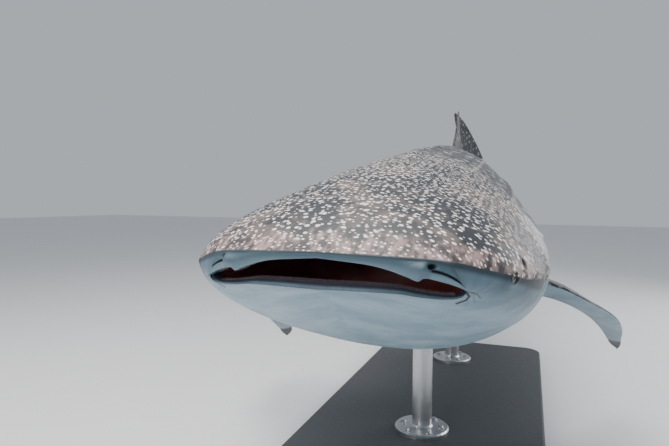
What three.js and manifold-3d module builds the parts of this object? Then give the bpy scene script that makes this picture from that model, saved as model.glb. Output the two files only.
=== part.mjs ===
// Whale shark (Rhincodon typus), a still life-size display model on a plain stand.
// Units are millimetres, +Z is up, the shark swims towards -Y and +X is its left side.
// The origin is the middle of the underside of the stand's base.
import * as THREE from "three";
import { mergeVertices } from "three/addons/utils/BufferGeometryUtils.js";
import Module from "manifold-3d";

const wasm = await Module();
wasm.setup();

// Driving sizes. Every other size of the animal is a share of its total length.
const TOTAL_LENGTH = 6500;
const SNOUT_HEIGHT = 1200; // upper lip above the floor
const STAND_AT = 0.36; // place of the stand along the body, where its weight is
const GAP = 0.3; // clearance between touching pieces
const FINEST = 0.05; // detail smaller than this is left out of the surfaces
const BASE_LENGTH = 2600;
const BASE_WIDTH = 1300;
const BASE_THICKNESS = 60;
const BASE_EDGE = 12;
const ROD_RADIUS = 55;
const ROD_STATIONS = { front: 0.25, rear: 0.47 };

// A smooth curve through [position, value] pairs that never overshoots them.
function curveThrough(pairs) {
  const x = pairs.map((p) => p[0]);
  const y = pairs.map((p) => p[1]);
  const last = x.length - 1;
  const slope = x.slice(1).map((xi, i) => (y[i + 1] - y[i]) / (xi - x[i]));
  const tangent = x.map((_, i) => {
    if (i === 0) return slope[0];
    if (i === last) return slope[last - 1];
    const [a, b] = [slope[i - 1], slope[i]];
    return a * b <= 0 ? 0 : (2 * a * b) / (a + b);
  });
  return (at) => {
    if (at <= x[0]) return y[0];
    if (at >= x[last]) return y[last];
    let i = 0;
    while (at > x[i + 1]) i += 1;
    const h = x[i + 1] - x[i];
    const t = (at - x[i]) / h;
    const [t2, t3] = [t * t, t * t * t];
    return (
      (2 * t3 - 3 * t2 + 1) * y[i] +
      (t3 - 2 * t2 + t) * h * tangent[i] +
      (3 * t2 - 2 * t3) * y[i + 1] +
      (t3 - t2) * h * tangent[i + 1]
    );
  };
}

// Body profiles as shares of the total length: station behind the lip, then the value there.
// Heights are above the rim of the upper lip.
const halfWidth = curveThrough([
  [0, 0.089], [0.03, 0.0895], [0.055, 0.09], [0.09, 0.0915], [0.14, 0.094], [0.2, 0.0955],
  [0.28, 0.091], [0.36, 0.082], [0.44, 0.071], [0.52, 0.058], [0.6, 0.045], [0.68, 0.032],
  [0.74, 0.024], [0.79, 0.0175], [0.82, 0.0105], [0.85, 0.005], [0.87, 0.0028],
]);
const backHeight = curveThrough([
  [0, 0], [0.0015, 0.0028], [0.005, 0.0062], [0.012, 0.0104], [0.03, 0.0185], [0.055, 0.0275],
  [0.09, 0.0375], [0.14, 0.048], [0.2, 0.058], [0.28, 0.068], [0.36, 0.077], [0.44, 0.082],
  [0.52, 0.077], [0.6, 0.066], [0.68, 0.052], [0.74, 0.042], [0.79, 0.041], [0.82, 0.045],
  [0.85, 0.044], [0.87, 0.038],
]);
const bellyHeight = curveThrough([
  [0, -0.018], [0.012, -0.025], [0.03, -0.036], [0.055, -0.048], [0.09, -0.061], [0.14, -0.076],
  [0.2, -0.088], [0.28, -0.092], [0.36, -0.086], [0.44, -0.074], [0.52, -0.057], [0.6, -0.04],
  [0.68, -0.021], [0.74, -0.008], [0.79, 0], [0.82, 0.004], [0.85, 0.012], [0.87, 0.022],
]);
const sideHeight = curveThrough([
  [0, -0.004], [0.012, -0.007], [0.03, -0.01], [0.055, -0.013], [0.09, -0.016], [0.14, -0.018],
  [0.2, -0.018], [0.28, -0.012], [0.36, -0.004], [0.44, 0.003], [0.52, 0.01], [0.68, 0.016],
  [0.79, 0.02], [0.87, 0.03],
]);
const backSpread = curveThrough([
  [0, 2.2], [0.03, 2.1], [0.09, 1.9], [0.2, 1.8], [0.44, 1.8], [0.6, 2], [0.79, 2],
]);
const backRoundness = curveThrough([
  [0, 1.9], [0.03, 1.7], [0.09, 1.5], [0.2, 1.4], [0.36, 1.45], [0.52, 1.7], [0.68, 2], [0.79, 2],
]);

// The way the body points along its length, in degrees: the flank sways and the tail swings right.
const heading = curveThrough([
  [0.25, 0], [0.4, -1.5], [0.5, 0], [0.65, 7], [0.74, 4], [0.82, -15], [0.9, -29], [1, -36],
]);
const SPINE_STEPS = 400;
const SPINE_END = 1.1;
const spine = [[0, 0]];
for (let i = 1; i <= SPINE_STEPS; i += 1) {
  const step = SPINE_END / SPINE_STEPS;
  const angle = THREE.MathUtils.degToRad(heading((i - 0.5) * step));
  const [x, y] = spine[i - 1];
  spine.push([x + Math.sin(angle) * step, y + Math.cos(angle) * step]);
}

// From a place on the straight body, in shares of its length, to the posed body in millimetres.
function posed(x, y, z) {
  const at = Math.max(y, 0) / (SPINE_END / SPINE_STEPS);
  const i = Math.min(Math.floor(at), SPINE_STEPS - 1);
  const t = at - i;
  const angle = THREE.MathUtils.degToRad(heading(y));
  const midX = spine[i][0] * (1 - t) + spine[i + 1][0] * t;
  const midY = (spine[i][1] * (1 - t) + spine[i + 1][1] * t) + Math.min(y, 0);
  return new THREE.Vector3(
    (midX + x * Math.cos(angle)) * TOTAL_LENGTH,
    (midY - x * Math.sin(angle) - STAND_AT) * TOTAL_LENGTH,
    z * TOTAL_LENGTH + SNOUT_HEIGHT,
  );
}

// The head seen from above: how wide it is at a station, and where its rim lies at a width.
const HEAD_ROUNDING = 0.075;
const HEAD_SQUARENESS = 2.6;
const MOUTH_HALF_WIDTH = 0.0605;
const HEAD_END = 0.13;
function outlineWidth(y) {
  const ahead = Math.max(1 - y / HEAD_ROUNDING, 0);
  return halfWidth(y) * Math.pow(Math.max(1 - ahead * ahead, 0), 1 / HEAD_SQUARENESS);
}
function rimStation(x) {
  let [low, high] = [0, HEAD_ROUNDING];
  for (let i = 0; i < 40; i += 1) {
    const middle = (low + high) / 2;
    if (outlineWidth(middle) < Math.abs(x)) low = middle;
    else high = middle;
  }
  return (low + high) / 2;
}

// Low swellings on the skin: three ridges along each flank, one along the back, and a tail keel.
const RIDGES = [
  { angle: 20, from: 0.16, to: 0.8, height: 0.0016 },
  { angle: 42, from: 0.14, to: 0.74, height: 0.0018 },
  { angle: 62, from: 0.14, to: 0.66, height: 0.0016 },
];
const RIDGE_HALF_ANGLE = 3.5;
const BACK_RIDGE = { from: 0.16, to: 0.45, height: 0.0022 };
const KEEL = { from: 0.66, full: 0.76, height: 0.009, halfAngle: 14 };
const ramp = THREE.MathUtils.smoothstep;
function fadeBetween(y, from, to) {
  return ramp(y, from, from + 0.05) * (1 - ramp(y, to - 0.05, to));
}
function ridgeLift(y, degrees) {
  const side = degrees > 90 ? 180 - degrees : degrees;
  let lift = 0;
  for (const r of RIDGES) {
    const near = Math.max(1 - Math.abs(side - r.angle) / RIDGE_HALF_ANGLE, 0);
    lift += r.height * near * fadeBetween(y, r.from, r.to);
  }
  const middle = Math.max(1 - Math.abs(side - 90) / 6, 0);
  lift += BACK_RIDGE.height * middle * fadeBetween(y, BACK_RIDGE.from, BACK_RIDGE.to);
  return lift;
}
function keelLift(y, degrees) {
  const side = Math.min(Math.abs(degrees), Math.abs(180 - degrees), Math.abs(360 - degrees));
  const near = Math.max(1 - side / KEEL.halfAngle, 0);
  return KEEL.height * near * near * ramp(y, KEEL.from, KEEL.full);
}

// Five gill slits on each side: the skin rises to each flap's edge and drops into the slit.
const GILL_STATIONS = [0.138, 0.155, 0.171, 0.186, 0.2];
const GILL_TOPS = [0.026, 0.028, 0.028, 0.024, 0.016];
const GILL_BOTTOMS = [-0.056, -0.056, -0.052, -0.044, -0.03];
const GILL_FLAP = 0.004;
const GILL_GROOVE = 0.0012;
const GILL_LIFT = 0.0016;
const GILL_DEPTH = 0.0028;
function gillLift(y, z) {
  let lift = 0;
  GILL_STATIONS.forEach((at, i) => {
    const middle = (GILL_TOPS[i] + GILL_BOTTOMS[i]) / 2;
    const half = (GILL_TOPS[i] - GILL_BOTTOMS[i]) / 2;
    const reach = 1 - Math.pow(Math.min(Math.abs(z - middle) / half, 1), 4);
    const ahead = at - y;
    if (ahead >= 0 && ahead <= GILL_FLAP * 2) {
      lift += GILL_LIFT * reach * (1 - ahead / (GILL_FLAP * 2));
    }
    if (ahead < 0 && ahead > -GILL_FLAP) {
      const into = -ahead / GILL_GROOVE;
      const drop = into < 1 ? GILL_LIFT - (GILL_LIFT + GILL_DEPTH) * into
        : -GILL_DEPTH * (1 - (-ahead - GILL_GROOVE) / (GILL_FLAP - GILL_GROOVE));
      lift += drop * reach;
    }
  });
  return lift;
}

const LEAST = 1e-4; // no width or height of the body is less than this

// A point on the skin of the straight body, seen at a ring angle: 0 left, 90 back, 270 belly.
function skinPoint(x, y, degrees, grow, share = null) {
  const width = Math.max(outlineWidth(y), LEAST);
  const f = share ?? Math.min(Math.abs(x) / width, 1);
  const upper = Math.pow(1 - Math.pow(f, backSpread(y)), 1 / backRoundness(y));
  const lower = Math.pow(1 - Math.pow(f, 2.2), 1 / 2);
  const top = Math.max(backHeight(y) - sideHeight(y), LEAST);
  const bottom = bellyHeight(y) - sideHeight(y);
  const isBack = degrees >= 0 && degrees <= 180;
  const z = sideHeight(y) + (isBack ? top * upper : bottom * lower);
  const outward = new THREE.Vector2(x / (width * width), (z - sideHeight(y)) / (top * top));
  outward.normalize();
  const lift = grow + keelLift(y, degrees) + gillLift(y, z) + (isBack ? ridgeLift(y, degrees) : 0);
  return [x + outward.x * lift, y, z + outward.y * lift];
}

// Ring angles: closer together where a ridge runs, so that its crest is a true edge.
const QUARTER = [0, 5, 10, 16.5, 20, 23.5, 31, 38.5, 42, 45.5, 52, 58.5, 62, 65.5, 74, 84];
const BELLY = [6, 12, 20, 30, 41, 52, 64, 77];
const RING = [
  ...QUARTER, 90, ...QUARTER.slice(1).reverse().map((a) => 180 - a), 180,
  ...BELLY.map((a) => 180 + a), 270, ...BELLY.slice().reverse().map((a) => 360 - a),
];

const TRUNK_STATIONS = [
  0.87, 0.85, 0.82, 0.79, 0.765, 0.74, 0.71, 0.68, 0.65, 0.61, 0.57, 0.53, 0.49, 0.45, 0.41,
  0.37, 0.33, 0.295, 0.265, 0.24, 0.22,
];
const gillRings = GILL_STATIONS.flatMap((at) => [
  at - GILL_FLAP * 1.9, at, at + GILL_GROOVE, at + GILL_FLAP * 0.95,
]).reverse();
const FACE_STEPS = [1, 0.84, 0.68, 0.53, 0.4, 0.28, 0.18, 0.1, 0.045, 0.015, 0];

function ringAt(y, grow) {
  return RING.map((degrees) => {
    const c = Math.cos(THREE.MathUtils.degToRad(degrees));
    return skinPoint(c * outlineWidth(y), y, degrees, grow);
  });
}

// The mouth: the lip rolls under at its edge and the lining runs back into the throat.
// The heights along the lips go by the share of the way from the middle to the corner.
const upperLip = curveThrough([
  [0, -0.0028], [0.17, -0.0036], [0.36, -0.0047], [0.5, -0.0066], [0.62, -0.0092],
  [0.694, -0.0109], [0.73, -0.0096], [0.85, -0.0112], [0.97, -0.0142], [1, -0.0155],
]);
const lowerLip = curveThrough([
  [0, -0.0164], [0.35, -0.0161], [0.55, -0.0163], [0.7, -0.0175], [0.88, -0.0184],
  [0.96, -0.0176], [1, -0.0155],
]);
const rimHeight = curveThrough([
  [0, 0], [0.42, -0.0007], [0.65, -0.0013], [0.78, -0.0019], [0.88, -0.0034], [1, -0.0155],
]);
const SET_BACK = { upper: 0.0015, lower: 0.006 };
const CHIN_SET_BACK = 0.004;
const CHIN_FADE = 10;
const BROW_FADE = 14;
const CAVITY_STEPS = [
  { depth: 0.0055, spread: 0.975, roof: 0.001, floor: 0.002 },
  { depth: 0.011, spread: 0.95, roof: 0.002, floor: -0.002 },
  { depth: 0.02, spread: 0.93, roof: 0.0035, floor: -0.009 },
  { depth: 0.04, spread: 0.88, roof: 0.008, floor: -0.016 },
  { depth: 0.065, spread: 0.8, roof: 0.011, floor: -0.022 },
  { depth: 0.085, spread: 0.55, roof: 0.006, floor: -0.018 },
];

function lipHeight(c, isBack) {
  return (isBack ? upperLip : lowerLip)(Math.abs(c));
}

// Rings of the face turn from upright at the gills to lying along the rim of the lips.
function faceRing(u, grow) {
  const cornerStation = rimStation(MOUTH_HALF_WIDTH);
  const sideStation = (1 - u) * cornerStation + u * HEAD_END;
  return RING.map((degrees) => {
    const c = Math.cos(THREE.MathUtils.degToRad(degrees));
    const x = c * outlineWidth(sideStation);
    const y = (1 - u) * rimStation(MOUTH_HALF_WIDTH * c) + u * HEAD_END;
    if (degrees <= 180) {
      const [px, py, pz] = skinPoint(x, y, degrees, grow);
      const edge = Math.pow(1 - u, BROW_FADE);
      return [px, py, pz * (1 - edge) + (rimHeight(Math.abs(c)) + grow) * edge];
    }
    // The chin ends at the lower lip, which lies below the rim and behind it.
    const near = Math.pow(1 - u, CHIN_FADE);
    const [px, py, pz] = skinPoint(x, y, degrees, grow, Math.abs(c));
    const open = Math.sqrt(Math.max(1 - c * c, 0));
    return [px, py + CHIN_SET_BACK * open * near, pz * (1 - near) + lipHeight(c, false) * near];
  });
}

function lipRing(spread, back, above, below) {
  return RING.map((degrees) => {
    const c = Math.cos(THREE.MathUtils.degToRad(degrees));
    const isBack = degrees >= 0 && degrees <= 180;
    const open = Math.sqrt(Math.max(1 - c * c, 0));
    const setBack = isBack ? SET_BACK.upper : SET_BACK.lower;
    const y = rimStation(MOUTH_HALF_WIDTH * c) + setBack * open + 0.001 + back;
    const z = lipHeight(c, isBack) + (isBack ? above : below) * open;
    return [c * MOUTH_HALF_WIDTH * spread, y, z];
  });
}

// A closed solid from rings that run from one end of the body, over the lips, to the throat.
function loft(rings, place = posed) {
  const size = rings[0].length;
  const points = rings.flat().map(([x, y, z]) => place(x, y, z));
  const middleOf = (ring) => {
    const sum = ring.reduce((s, p) => [s[0] + p[0], s[1] + p[1], s[2] + p[2]], [0, 0, 0]);
    return place(...sum.map((v) => v / ring.length));
  };
  const first = points.push(middleOf(rings[0])) - 1;
  const end = points.push(middleOf(rings[rings.length - 1])) - 1;
  const faces = [];
  for (let j = 0; j < size; j += 1) {
    const k = (j + 1) % size;
    for (let i = 0; i < rings.length - 1; i += 1) {
      const [a, b] = [i * size + j, i * size + k];
      const [c, d] = [a + size, b + size];
      faces.push([a, b, d], [a, d, c]);
    }
    const tail = (rings.length - 1) * size;
    faces.push([first, k, j], [end, tail + j, tail + k]);
  }
  return solidFrom(points, faces);
}

function solidFrom(points, faces) {
  const make = (list) => new wasm.Manifold(new wasm.Mesh({
    numProp: 3,
    vertProperties: new Float32Array(points.flatMap((p) => [p.x, p.y, p.z])),
    triVerts: new Uint32Array(list.flat()),
  }));
  const made = make(faces);
  return made.volume() > 0 ? made : make(faces.map(([a, b, c]) => [a, c, b]));
}

function solidOf(geometry) {
  const plain = geometry.clone();
  for (const name of Object.keys(plain.attributes)) {
    if (name !== "position") plain.deleteAttribute(name);
  }
  const merged = mergeVertices(plain, 1e-3);
  return new wasm.Manifold(new wasm.Mesh({
    numProp: 3,
    vertProperties: merged.attributes.position.array,
    triVerts: new Uint32Array(merged.index.array),
  }));
}

// Only the largest closed piece of a cut is kept.
function largest(solid) {
  return solid.decompose().sort((a, b) => b.volume() - a.volume())[0];
}

function wholeBody(grow) {
  const mm = grow / TOTAL_LENGTH;
  return [
    ...TRUNK_STATIONS.map((y) => ringAt(y, mm)),
    ...gillRings.map((y) => ringAt(y, mm)),
    ...FACE_STEPS.map((u) => faceRing(u, mm)),
  ];
}
const lips = [
  lipRing(1, 0, 0, 0),
  ...CAVITY_STEPS.map((s) => lipRing(s.spread, s.depth, s.roof, s.floor)),
];
const body = loft([...wholeBody(0), ...lips]);
const bodyGrown = loft([...wholeBody(GAP * 2.5), lipRing(1, 0, 0, 0)]);

// A part of the body between two stations, cut square to it.
function bodyLength(from, to) {
  const cutter = (at, sign) => {
    const side = new THREE.BoxGeometry(4000, 8000, 4000);
    side.translate(0, sign * (4000 - GAP / 2), 0);
    side.rotateZ(-THREE.MathUtils.degToRad(heading(at)));
    const middle = posed(0, at, 0);
    side.translate(middle.x, middle.y, middle.z);
    return solidOf(side);
  };
  let kept = body;
  if (from !== null) kept = kept.subtract(cutter(from, -1));
  if (to !== null) kept = kept.subtract(cutter(to, 1));
  return kept;
}

// The head and the lower jaw part along a line that passes through the mouth and its corners.
const NECK = 0.128;
const SHOULDER = 0.213;
const TAIL_START = 0.58;
const JAW_LINE = [
  [-0.05, -0.009], [0.003, -0.009], [0.006, -0.0108], [0.0095, -0.0126], [0.0128, -0.0138],
  [0.0164, -0.0155], [0.14, -0.034],
];
function prismAcross(points) {
  const shape = new THREE.Shape(points.map(([y, z]) => new THREE.Vector2(y, z)));
  const width = 0.4;
  const prism = new THREE.ExtrudeGeometry(shape, { depth: width, bevelEnabled: false, steps: 1 });
  prism.translate(0, 0, -width / 2);
  const place = new THREE.Matrix4().makeBasis(
    new THREE.Vector3(0, 1, 0), new THREE.Vector3(0, 0, 1), new THREE.Vector3(1, 0, 0),
  );
  prism.applyMatrix4(place);
  prism.scale(TOTAL_LENGTH, TOTAL_LENGTH, TOTAL_LENGTH);
  prism.translate(0, -STAND_AT * TOTAL_LENGTH, SNOUT_HEIGHT);
  return solidOf(prism);
}
const wholeHead = bodyLength(null, NECK);
const jawSlack = GAP / TOTAL_LENGTH;
const aboveJaw = prismAcross([...JAW_LINE, [0.14, 0.2], [-0.05, 0.2]]);
const belowJaw = prismAcross([
  ...JAW_LINE.map(([y, z]) => [y, z - jawSlack]).reverse(), [-0.05, -0.2], [0.14, -0.2],
]);
const jaw = largest(wholeHead.intersect(belowJaw));

// A point just inside or outside the skin of the head, at a station and a ring angle.
function onHead(y, degrees, out) {
  const c = Math.cos(THREE.MathUtils.degToRad(degrees));
  return posed(...skinPoint(c * outlineWidth(y), y, degrees, out));
}

function ballAt(centre, [rx, ry, rz], detail = 14) {
  const ball = new THREE.SphereGeometry(1, detail, Math.round(detail * 0.6));
  ball.scale(rx, ry, rz);
  ball.translate(centre.x, centre.y, centre.z);
  return solidOf(ball);
}

// Eyes: small balls set low on the sides of the head, each in a socket with a raised rim.
const EYE_STATION = 0.034;
const EYE_RADIUS = 27;
const EYE_INSET = 0.003;
const EYE_RIM = { radius: 23, thickness: 8 };
const eyeAngle = { left: 359, right: 181 };
function eyeCentre(side, out = -EYE_INSET) {
  return onHead(EYE_STATION, eyeAngle[side], out);
}
function eyeRim(side) {
  const ring = new THREE.TorusGeometry(EYE_RIM.radius, EYE_RIM.thickness, 6, 16);
  const out = eyeCentre(side, 0.01).sub(eyeCentre(side, 0)).normalize();
  ring.applyQuaternion(new THREE.Quaternion().setFromUnitVectors(new THREE.Vector3(0, 0, 1), out));
  const middle = eyeCentre(side, 0.0004);
  ring.translate(middle.x, middle.y, middle.z);
  return solidOf(ring);
}

// The spiracle is a small hole behind the eye.
const SPIRACLE = { station: 0.045, angle: 13, size: [14, 17, 10] };

// Nostrils open on the upper lip. Each has a lobe that hangs over the mouth, and from it a fold
// of the lip runs back to the corner.
const NOSTRIL_X = 0.0455;
const NOSE_LOBE = { back: 0.0032, drop: 0.0076, size: [34, 24, 21] };
const NOSTRIL_HOLE = { along: 0.0015, drop: 0.0047, size: [13, 20, 7] };
function lipPoint(x, back, z) {
  return [x, rimStation(Math.abs(x)) + back, z];
}
function noseLobe(sign) {
  const x = sign * NOSTRIL_X;
  return ballAt(posed(...lipPoint(x, NOSE_LOBE.back, -NOSE_LOBE.drop)), NOSE_LOBE.size, 16);
}

function nostrilHole(sign) {
  const x = sign * (NOSTRIL_X + NOSTRIL_HOLE.along);
  return ballAt(posed(...lipPoint(x, 0.0005, -NOSTRIL_HOLE.drop)), NOSTRIL_HOLE.size, 10);
}

function sweptTube(points, radiusAt, sides = 7, steps = 11) {
  const path = new THREE.CatmullRomCurve3(points.map((p) => posed(...p)));
  const rings = [];
  for (let i = 0; i <= steps; i += 1) {
    const t = i / steps;
    const along = path.getTangent(t);
    const across = new THREE.Vector3(0, 0, 1).cross(along).normalize();
    const over = along.clone().cross(across);
    const middle = path.getPoint(t);
    const r = radiusAt(t);
    const ring = [];
    for (let k = 0; k < sides; k += 1) {
      const a = (k / sides) * 2 * Math.PI;
      const point = middle.clone().addScaledVector(across, r * Math.cos(a));
      ring.push(point.addScaledVector(over, r * Math.sin(a)).toArray());
    }
    rings.push(ring);
  }
  return loft(rings, (x, y, z) => new THREE.Vector3(x, y, z));
}
const LIP_FOLD_RADIUS = 14;
function lipFold(sign) {
  return sweptTube([
    lipPoint(sign * 0.0475, 0.003, -0.0082), lipPoint(sign * 0.0524, 0.0032, -0.0094),
    lipPoint(sign * 0.0572, 0.0034, -0.0114), lipPoint(sign * 0.0606, 0.0038, -0.0138),
    lipPoint(sign * 0.0622, 0.0052, -0.0168),
  ], (t) => LIP_FOLD_RADIUS * Math.sqrt(Math.max(1 - Math.pow(2 * t - 1, 4), 0.08)));
}

let head = wholeHead;
for (const sign of [1, -1]) head = head.add(noseLobe(sign)).add(lipFold(sign));
head = largest(head.intersect(aboveJaw));
for (const sign of [1, -1]) head = head.subtract(nostrilHole(sign));
for (const side of ["left", "right"]) {
  const degrees = side === "left" ? SPIRACLE.angle : 180 - SPIRACLE.angle;
  const socket = ballAt(eyeCentre(side), [EYE_RADIUS + GAP, EYE_RADIUS + GAP, EYE_RADIUS + GAP], 16);
  head = head.add(eyeRim(side)).subtract(socket);
  head = head.subtract(ballAt(onHead(SPIRACLE.station, degrees, 0), SPIRACLE.size, 10));
}
head = largest(head);

// A fin from its leading and trailing edge, each a list of points from root to tip.
const CHORD = [0, 0.03, 0.11, 0.25, 0.45, 0.7, 0.9, 1];
function foilHalfThickness(t) {
  return 1.35 * Math.sqrt(t) * (1 - t) + 0.06 * t * (1 - t) + 0.012;
}
function fin({ lead, trail, thickness, flat, spans = 12 }) {
  const along = (points) => new THREE.CatmullRomCurve3(points.map((p) => new THREE.Vector3(...p)));
  const [front, rear] = [along(lead), along(trail)];
  const normal = new THREE.Vector3(...flat).normalize();
  const rings = [];
  for (let i = 0; i <= spans; i += 1) {
    const v = Math.sin((i / spans) * (Math.PI / 2));
    const [a, b] = [front.getPoint(v), rear.getPoint(v)];
    const chord = b.clone().sub(a);
    const depth = Math.max(thickness * chord.length() * (1 - 0.35 * v), 0.0012);
    const side = (sign) => CHORD.map((t) => a.clone().addScaledVector(chord, t)
      .addScaledVector(normal, sign * depth * foilHalfThickness(t)).toArray());
    rings.push([...side(1), ...side(-1).reverse()]);
  }
  return finLoft(rings);
}

// Both faces are split along the same diagonals, so that a thin fin never crosses itself.
function finLoft(rings) {
  const size = rings[0].length;
  const half = size / 2;
  const points = rings.flat().map(([x, y, z]) => posed(x, y, z));
  const faces = [];
  for (let i = 0; i < rings.length - 1; i += 1) {
    for (let j = 0; j < size; j += 1) {
      const k = (j + 1) % size;
      const [a, b] = [i * size + j, i * size + k];
      const [c, d] = [a + size, b + size];
      if (j < half) faces.push([a, b, d], [a, d, c]);
      else faces.push([a, b, c], [b, d, c]);
    }
  }
  const last = (rings.length - 1) * size;
  for (let j = 0; j < half - 1; j += 1) {
    const [a, b] = [j, j + 1];
    const [c, d] = [size - 1 - j, size - 2 - j];
    faces.push([b, a, c], [b, c, d]);
    faces.push([last + a, last + b, last + d], [last + a, last + d, last + c]);
  }
  return solidFrom(points, faces);
}
const onMiddle = (points) => points.map(([y, z]) => [0, y, z]);
const mirrored = (points) => points.map(([x, y, z]) => [-x, y, z]);

const FIRST_DORSAL = {
  lead: [
    [0, 0.428, 0.06], [0, 0.446, 0.084], [0, 0.468, 0.105], [-0.0015, 0.489, 0.1235],
    [-0.003, 0.508, 0.1355], [-0.004, 0.521, 0.14],
  ],
  trail: [
    [0, 0.532, 0.056], [0, 0.549, 0.0775], [0, 0.53, 0.088], [-0.001, 0.519, 0.103],
    [-0.0025, 0.52, 0.124], [-0.004, 0.526, 0.1385],
  ],
  thickness: 0.1, flat: [1, 0, 0],
};
const SECOND_DORSAL = {
  lead: onMiddle([[0.63, 0.045], [0.642, 0.064], [0.655, 0.076], [0.667, 0.0855], [0.673, 0.0885]]),
  trail: onMiddle([[0.668, 0.038], [0.685, 0.054], [0.676, 0.0625], [0.672, 0.077], [0.676, 0.0875]]),
  thickness: 0.1, flat: [1, 0, 0], spans: 9,
};
const ANAL = {
  lead: onMiddle([[0.648, -0.02], [0.661, -0.036], [0.676, -0.049], [0.688, -0.056]]),
  trail: onMiddle([[0.684, -0.01], [0.699, -0.0235], [0.69, -0.036], [0.692, -0.0545]]),
  thickness: 0.1, flat: [1, 0, 0], spans: 9,
};
const TAIL_UPPER = {
  lead: onMiddle([
    [0.752, 0.032], [0.79, 0.048], [0.84, 0.088], [0.9, 0.14], [0.955, 0.187], [0.99, 0.209],
  ]),
  trail: onMiddle([
    [0.81, 0.012], [0.872, 0.03], [0.912, 0.07], [0.952, 0.122], [0.984, 0.172], [0.997, 0.2055],
  ]),
  thickness: 0.09, flat: [1, 0, 0], spans: 14,
};
const TAIL_LOWER = {
  lead: onMiddle([[0.752, 0.012], [0.787, -0.006], [0.812, -0.035], [0.836, -0.068], [0.856, -0.092]]),
  trail: onMiddle([[0.81, 0.03], [0.862, 0.028], [0.853, -0.012], [0.854, -0.05], [0.863, -0.0895]]),
  thickness: 0.1, flat: [1, 0, 0],
};
const TAIL_PARTING = 0.02;
const PECTORAL = {
  lead: [
    [0.07, 0.184, -0.03], [0.1, 0.191, -0.036], [0.126, 0.212, -0.05], [0.146, 0.243, -0.065],
    [0.157, 0.283, -0.083], [0.1615, 0.315, -0.0985], [0.164, 0.333, -0.108],
    [0.1635, 0.342, -0.113],
  ],
  trail: [
    [0.064, 0.25, -0.046], [0.098, 0.262, -0.054], [0.114, 0.257, -0.06],
    [0.128, 0.271, -0.0695], [0.142, 0.3, -0.085], [0.152, 0.3275, -0.1005],
    [0.1575, 0.3405, -0.109], [0.1625, 0.343, -0.113],
  ],
  thickness: 0.15, flat: [0.35, 0, 1], spans: 14,
};
const RIGHT_DROOP = { from: 0.07, rate: 0.19, out: 0.06 };
const PELVIC = {
  lead: [[0.03, 0.474, -0.046], [0.05, 0.487, -0.064], [0.061, 0.505, -0.075], [0.065, 0.521, -0.082]],
  trail: [[0.026, 0.515, -0.042], [0.046, 0.532, -0.062], [0.055, 0.53, -0.071], [0.063, 0.528, -0.081]],
  thickness: 0.12, flat: [0.8, 0, 0.6], spans: 9,
};
// The right pectoral fin is held a little lower and further out than the left one.
const drooped = (points) => points.map(([x, y, z]) => {
  const past = Math.max(x - RIGHT_DROOP.from, 0);
  return [x + past * RIGHT_DROOP.out, y, z - past * RIGHT_DROOP.rate];
});
const PECTORAL_RIGHT = {
  ...PECTORAL, lead: drooped(PECTORAL.lead), trail: drooped(PECTORAL.trail),
};
const onRight = (f) => ({
  ...f, lead: mirrored(f.lead), trail: mirrored(f.trail), flat: [-f.flat[0], f.flat[1], f.flat[2]],
});
// Each fin is cut away where the body is, so that it stands on the skin.
const onBody = (solid) => largest(solid.subtract(bodyGrown));
const wholeTailFin = fin(TAIL_UPPER).add(fin(TAIL_LOWER));
function heightBand(from, to) {
  const band = new THREE.BoxGeometry(4000, 20000, to - from);
  band.translate(0, 0, (from + to) / 2);
  return solidOf(band);
}
const tailParting = SNOUT_HEIGHT + TAIL_PARTING * TOTAL_LENGTH;
const tailUpper = largest(onBody(wholeTailFin.intersect(heightBand(tailParting + GAP / 2, 4000))));
const tailLower = largest(onBody(wholeTailFin.intersect(heightBand(0, tailParting - GAP / 2))));

// The stand: a flat base with softened edges and two short rods with round feet.
function standBase() {
  const [halfX, halfY, corner] = [BASE_WIDTH / 2, BASE_LENGTH / 2, 120];
  const inner = new THREE.Shape();
  const [x, y] = [halfX - BASE_EDGE, halfY - BASE_EDGE];
  inner.moveTo(x - corner, -y);
  inner.absarc(x - corner, -y + corner, corner, -Math.PI / 2, 0, false);
  inner.absarc(x - corner, y - corner, corner, 0, Math.PI / 2, false);
  inner.absarc(-x + corner, y - corner, corner, Math.PI / 2, Math.PI, false);
  inner.absarc(-x + corner, -y + corner, corner, Math.PI, 1.5 * Math.PI, false);
  const plate = new THREE.ExtrudeGeometry(inner, {
    depth: BASE_THICKNESS - 2 * BASE_EDGE, curveSegments: 6, bevelSegments: 2,
    bevelThickness: BASE_EDGE, bevelSize: BASE_EDGE,
  });
  plate.translate(0, 0, BASE_EDGE);
  return solidOf(plate);
}
const ROD_FOOT = { radius: 150, thickness: 22 };
const ROD_HEAD = { radius: 120, below: 70 };
function standRod(station) {
  const bottom = BASE_THICKNESS + GAP;
  const under = SNOUT_HEIGHT + bellyHeight(station) * TOTAL_LENGTH;
  const profile = [
    [0, bottom], [ROD_FOOT.radius, bottom], [ROD_FOOT.radius, bottom + ROD_FOOT.thickness * 0.7],
    [ROD_FOOT.radius - 8, bottom + ROD_FOOT.thickness],
    [ROD_RADIUS + 8, bottom + ROD_FOOT.thickness + 4],
    [ROD_RADIUS, bottom + ROD_FOOT.thickness + 14], [ROD_RADIUS, under - ROD_HEAD.below],
    [ROD_HEAD.radius, under - 18], [ROD_HEAD.radius, under + 60], [0, under + 60],
  ].map(([r, z]) => new THREE.Vector2(r, z));
  const turned = new THREE.LatheGeometry(profile, 32);
  turned.rotateX(Math.PI / 2);
  const at = posed(0, station, 0);
  turned.translate(at.x, at.y, 0);
  return onBody(solidOf(turned));
}

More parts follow.
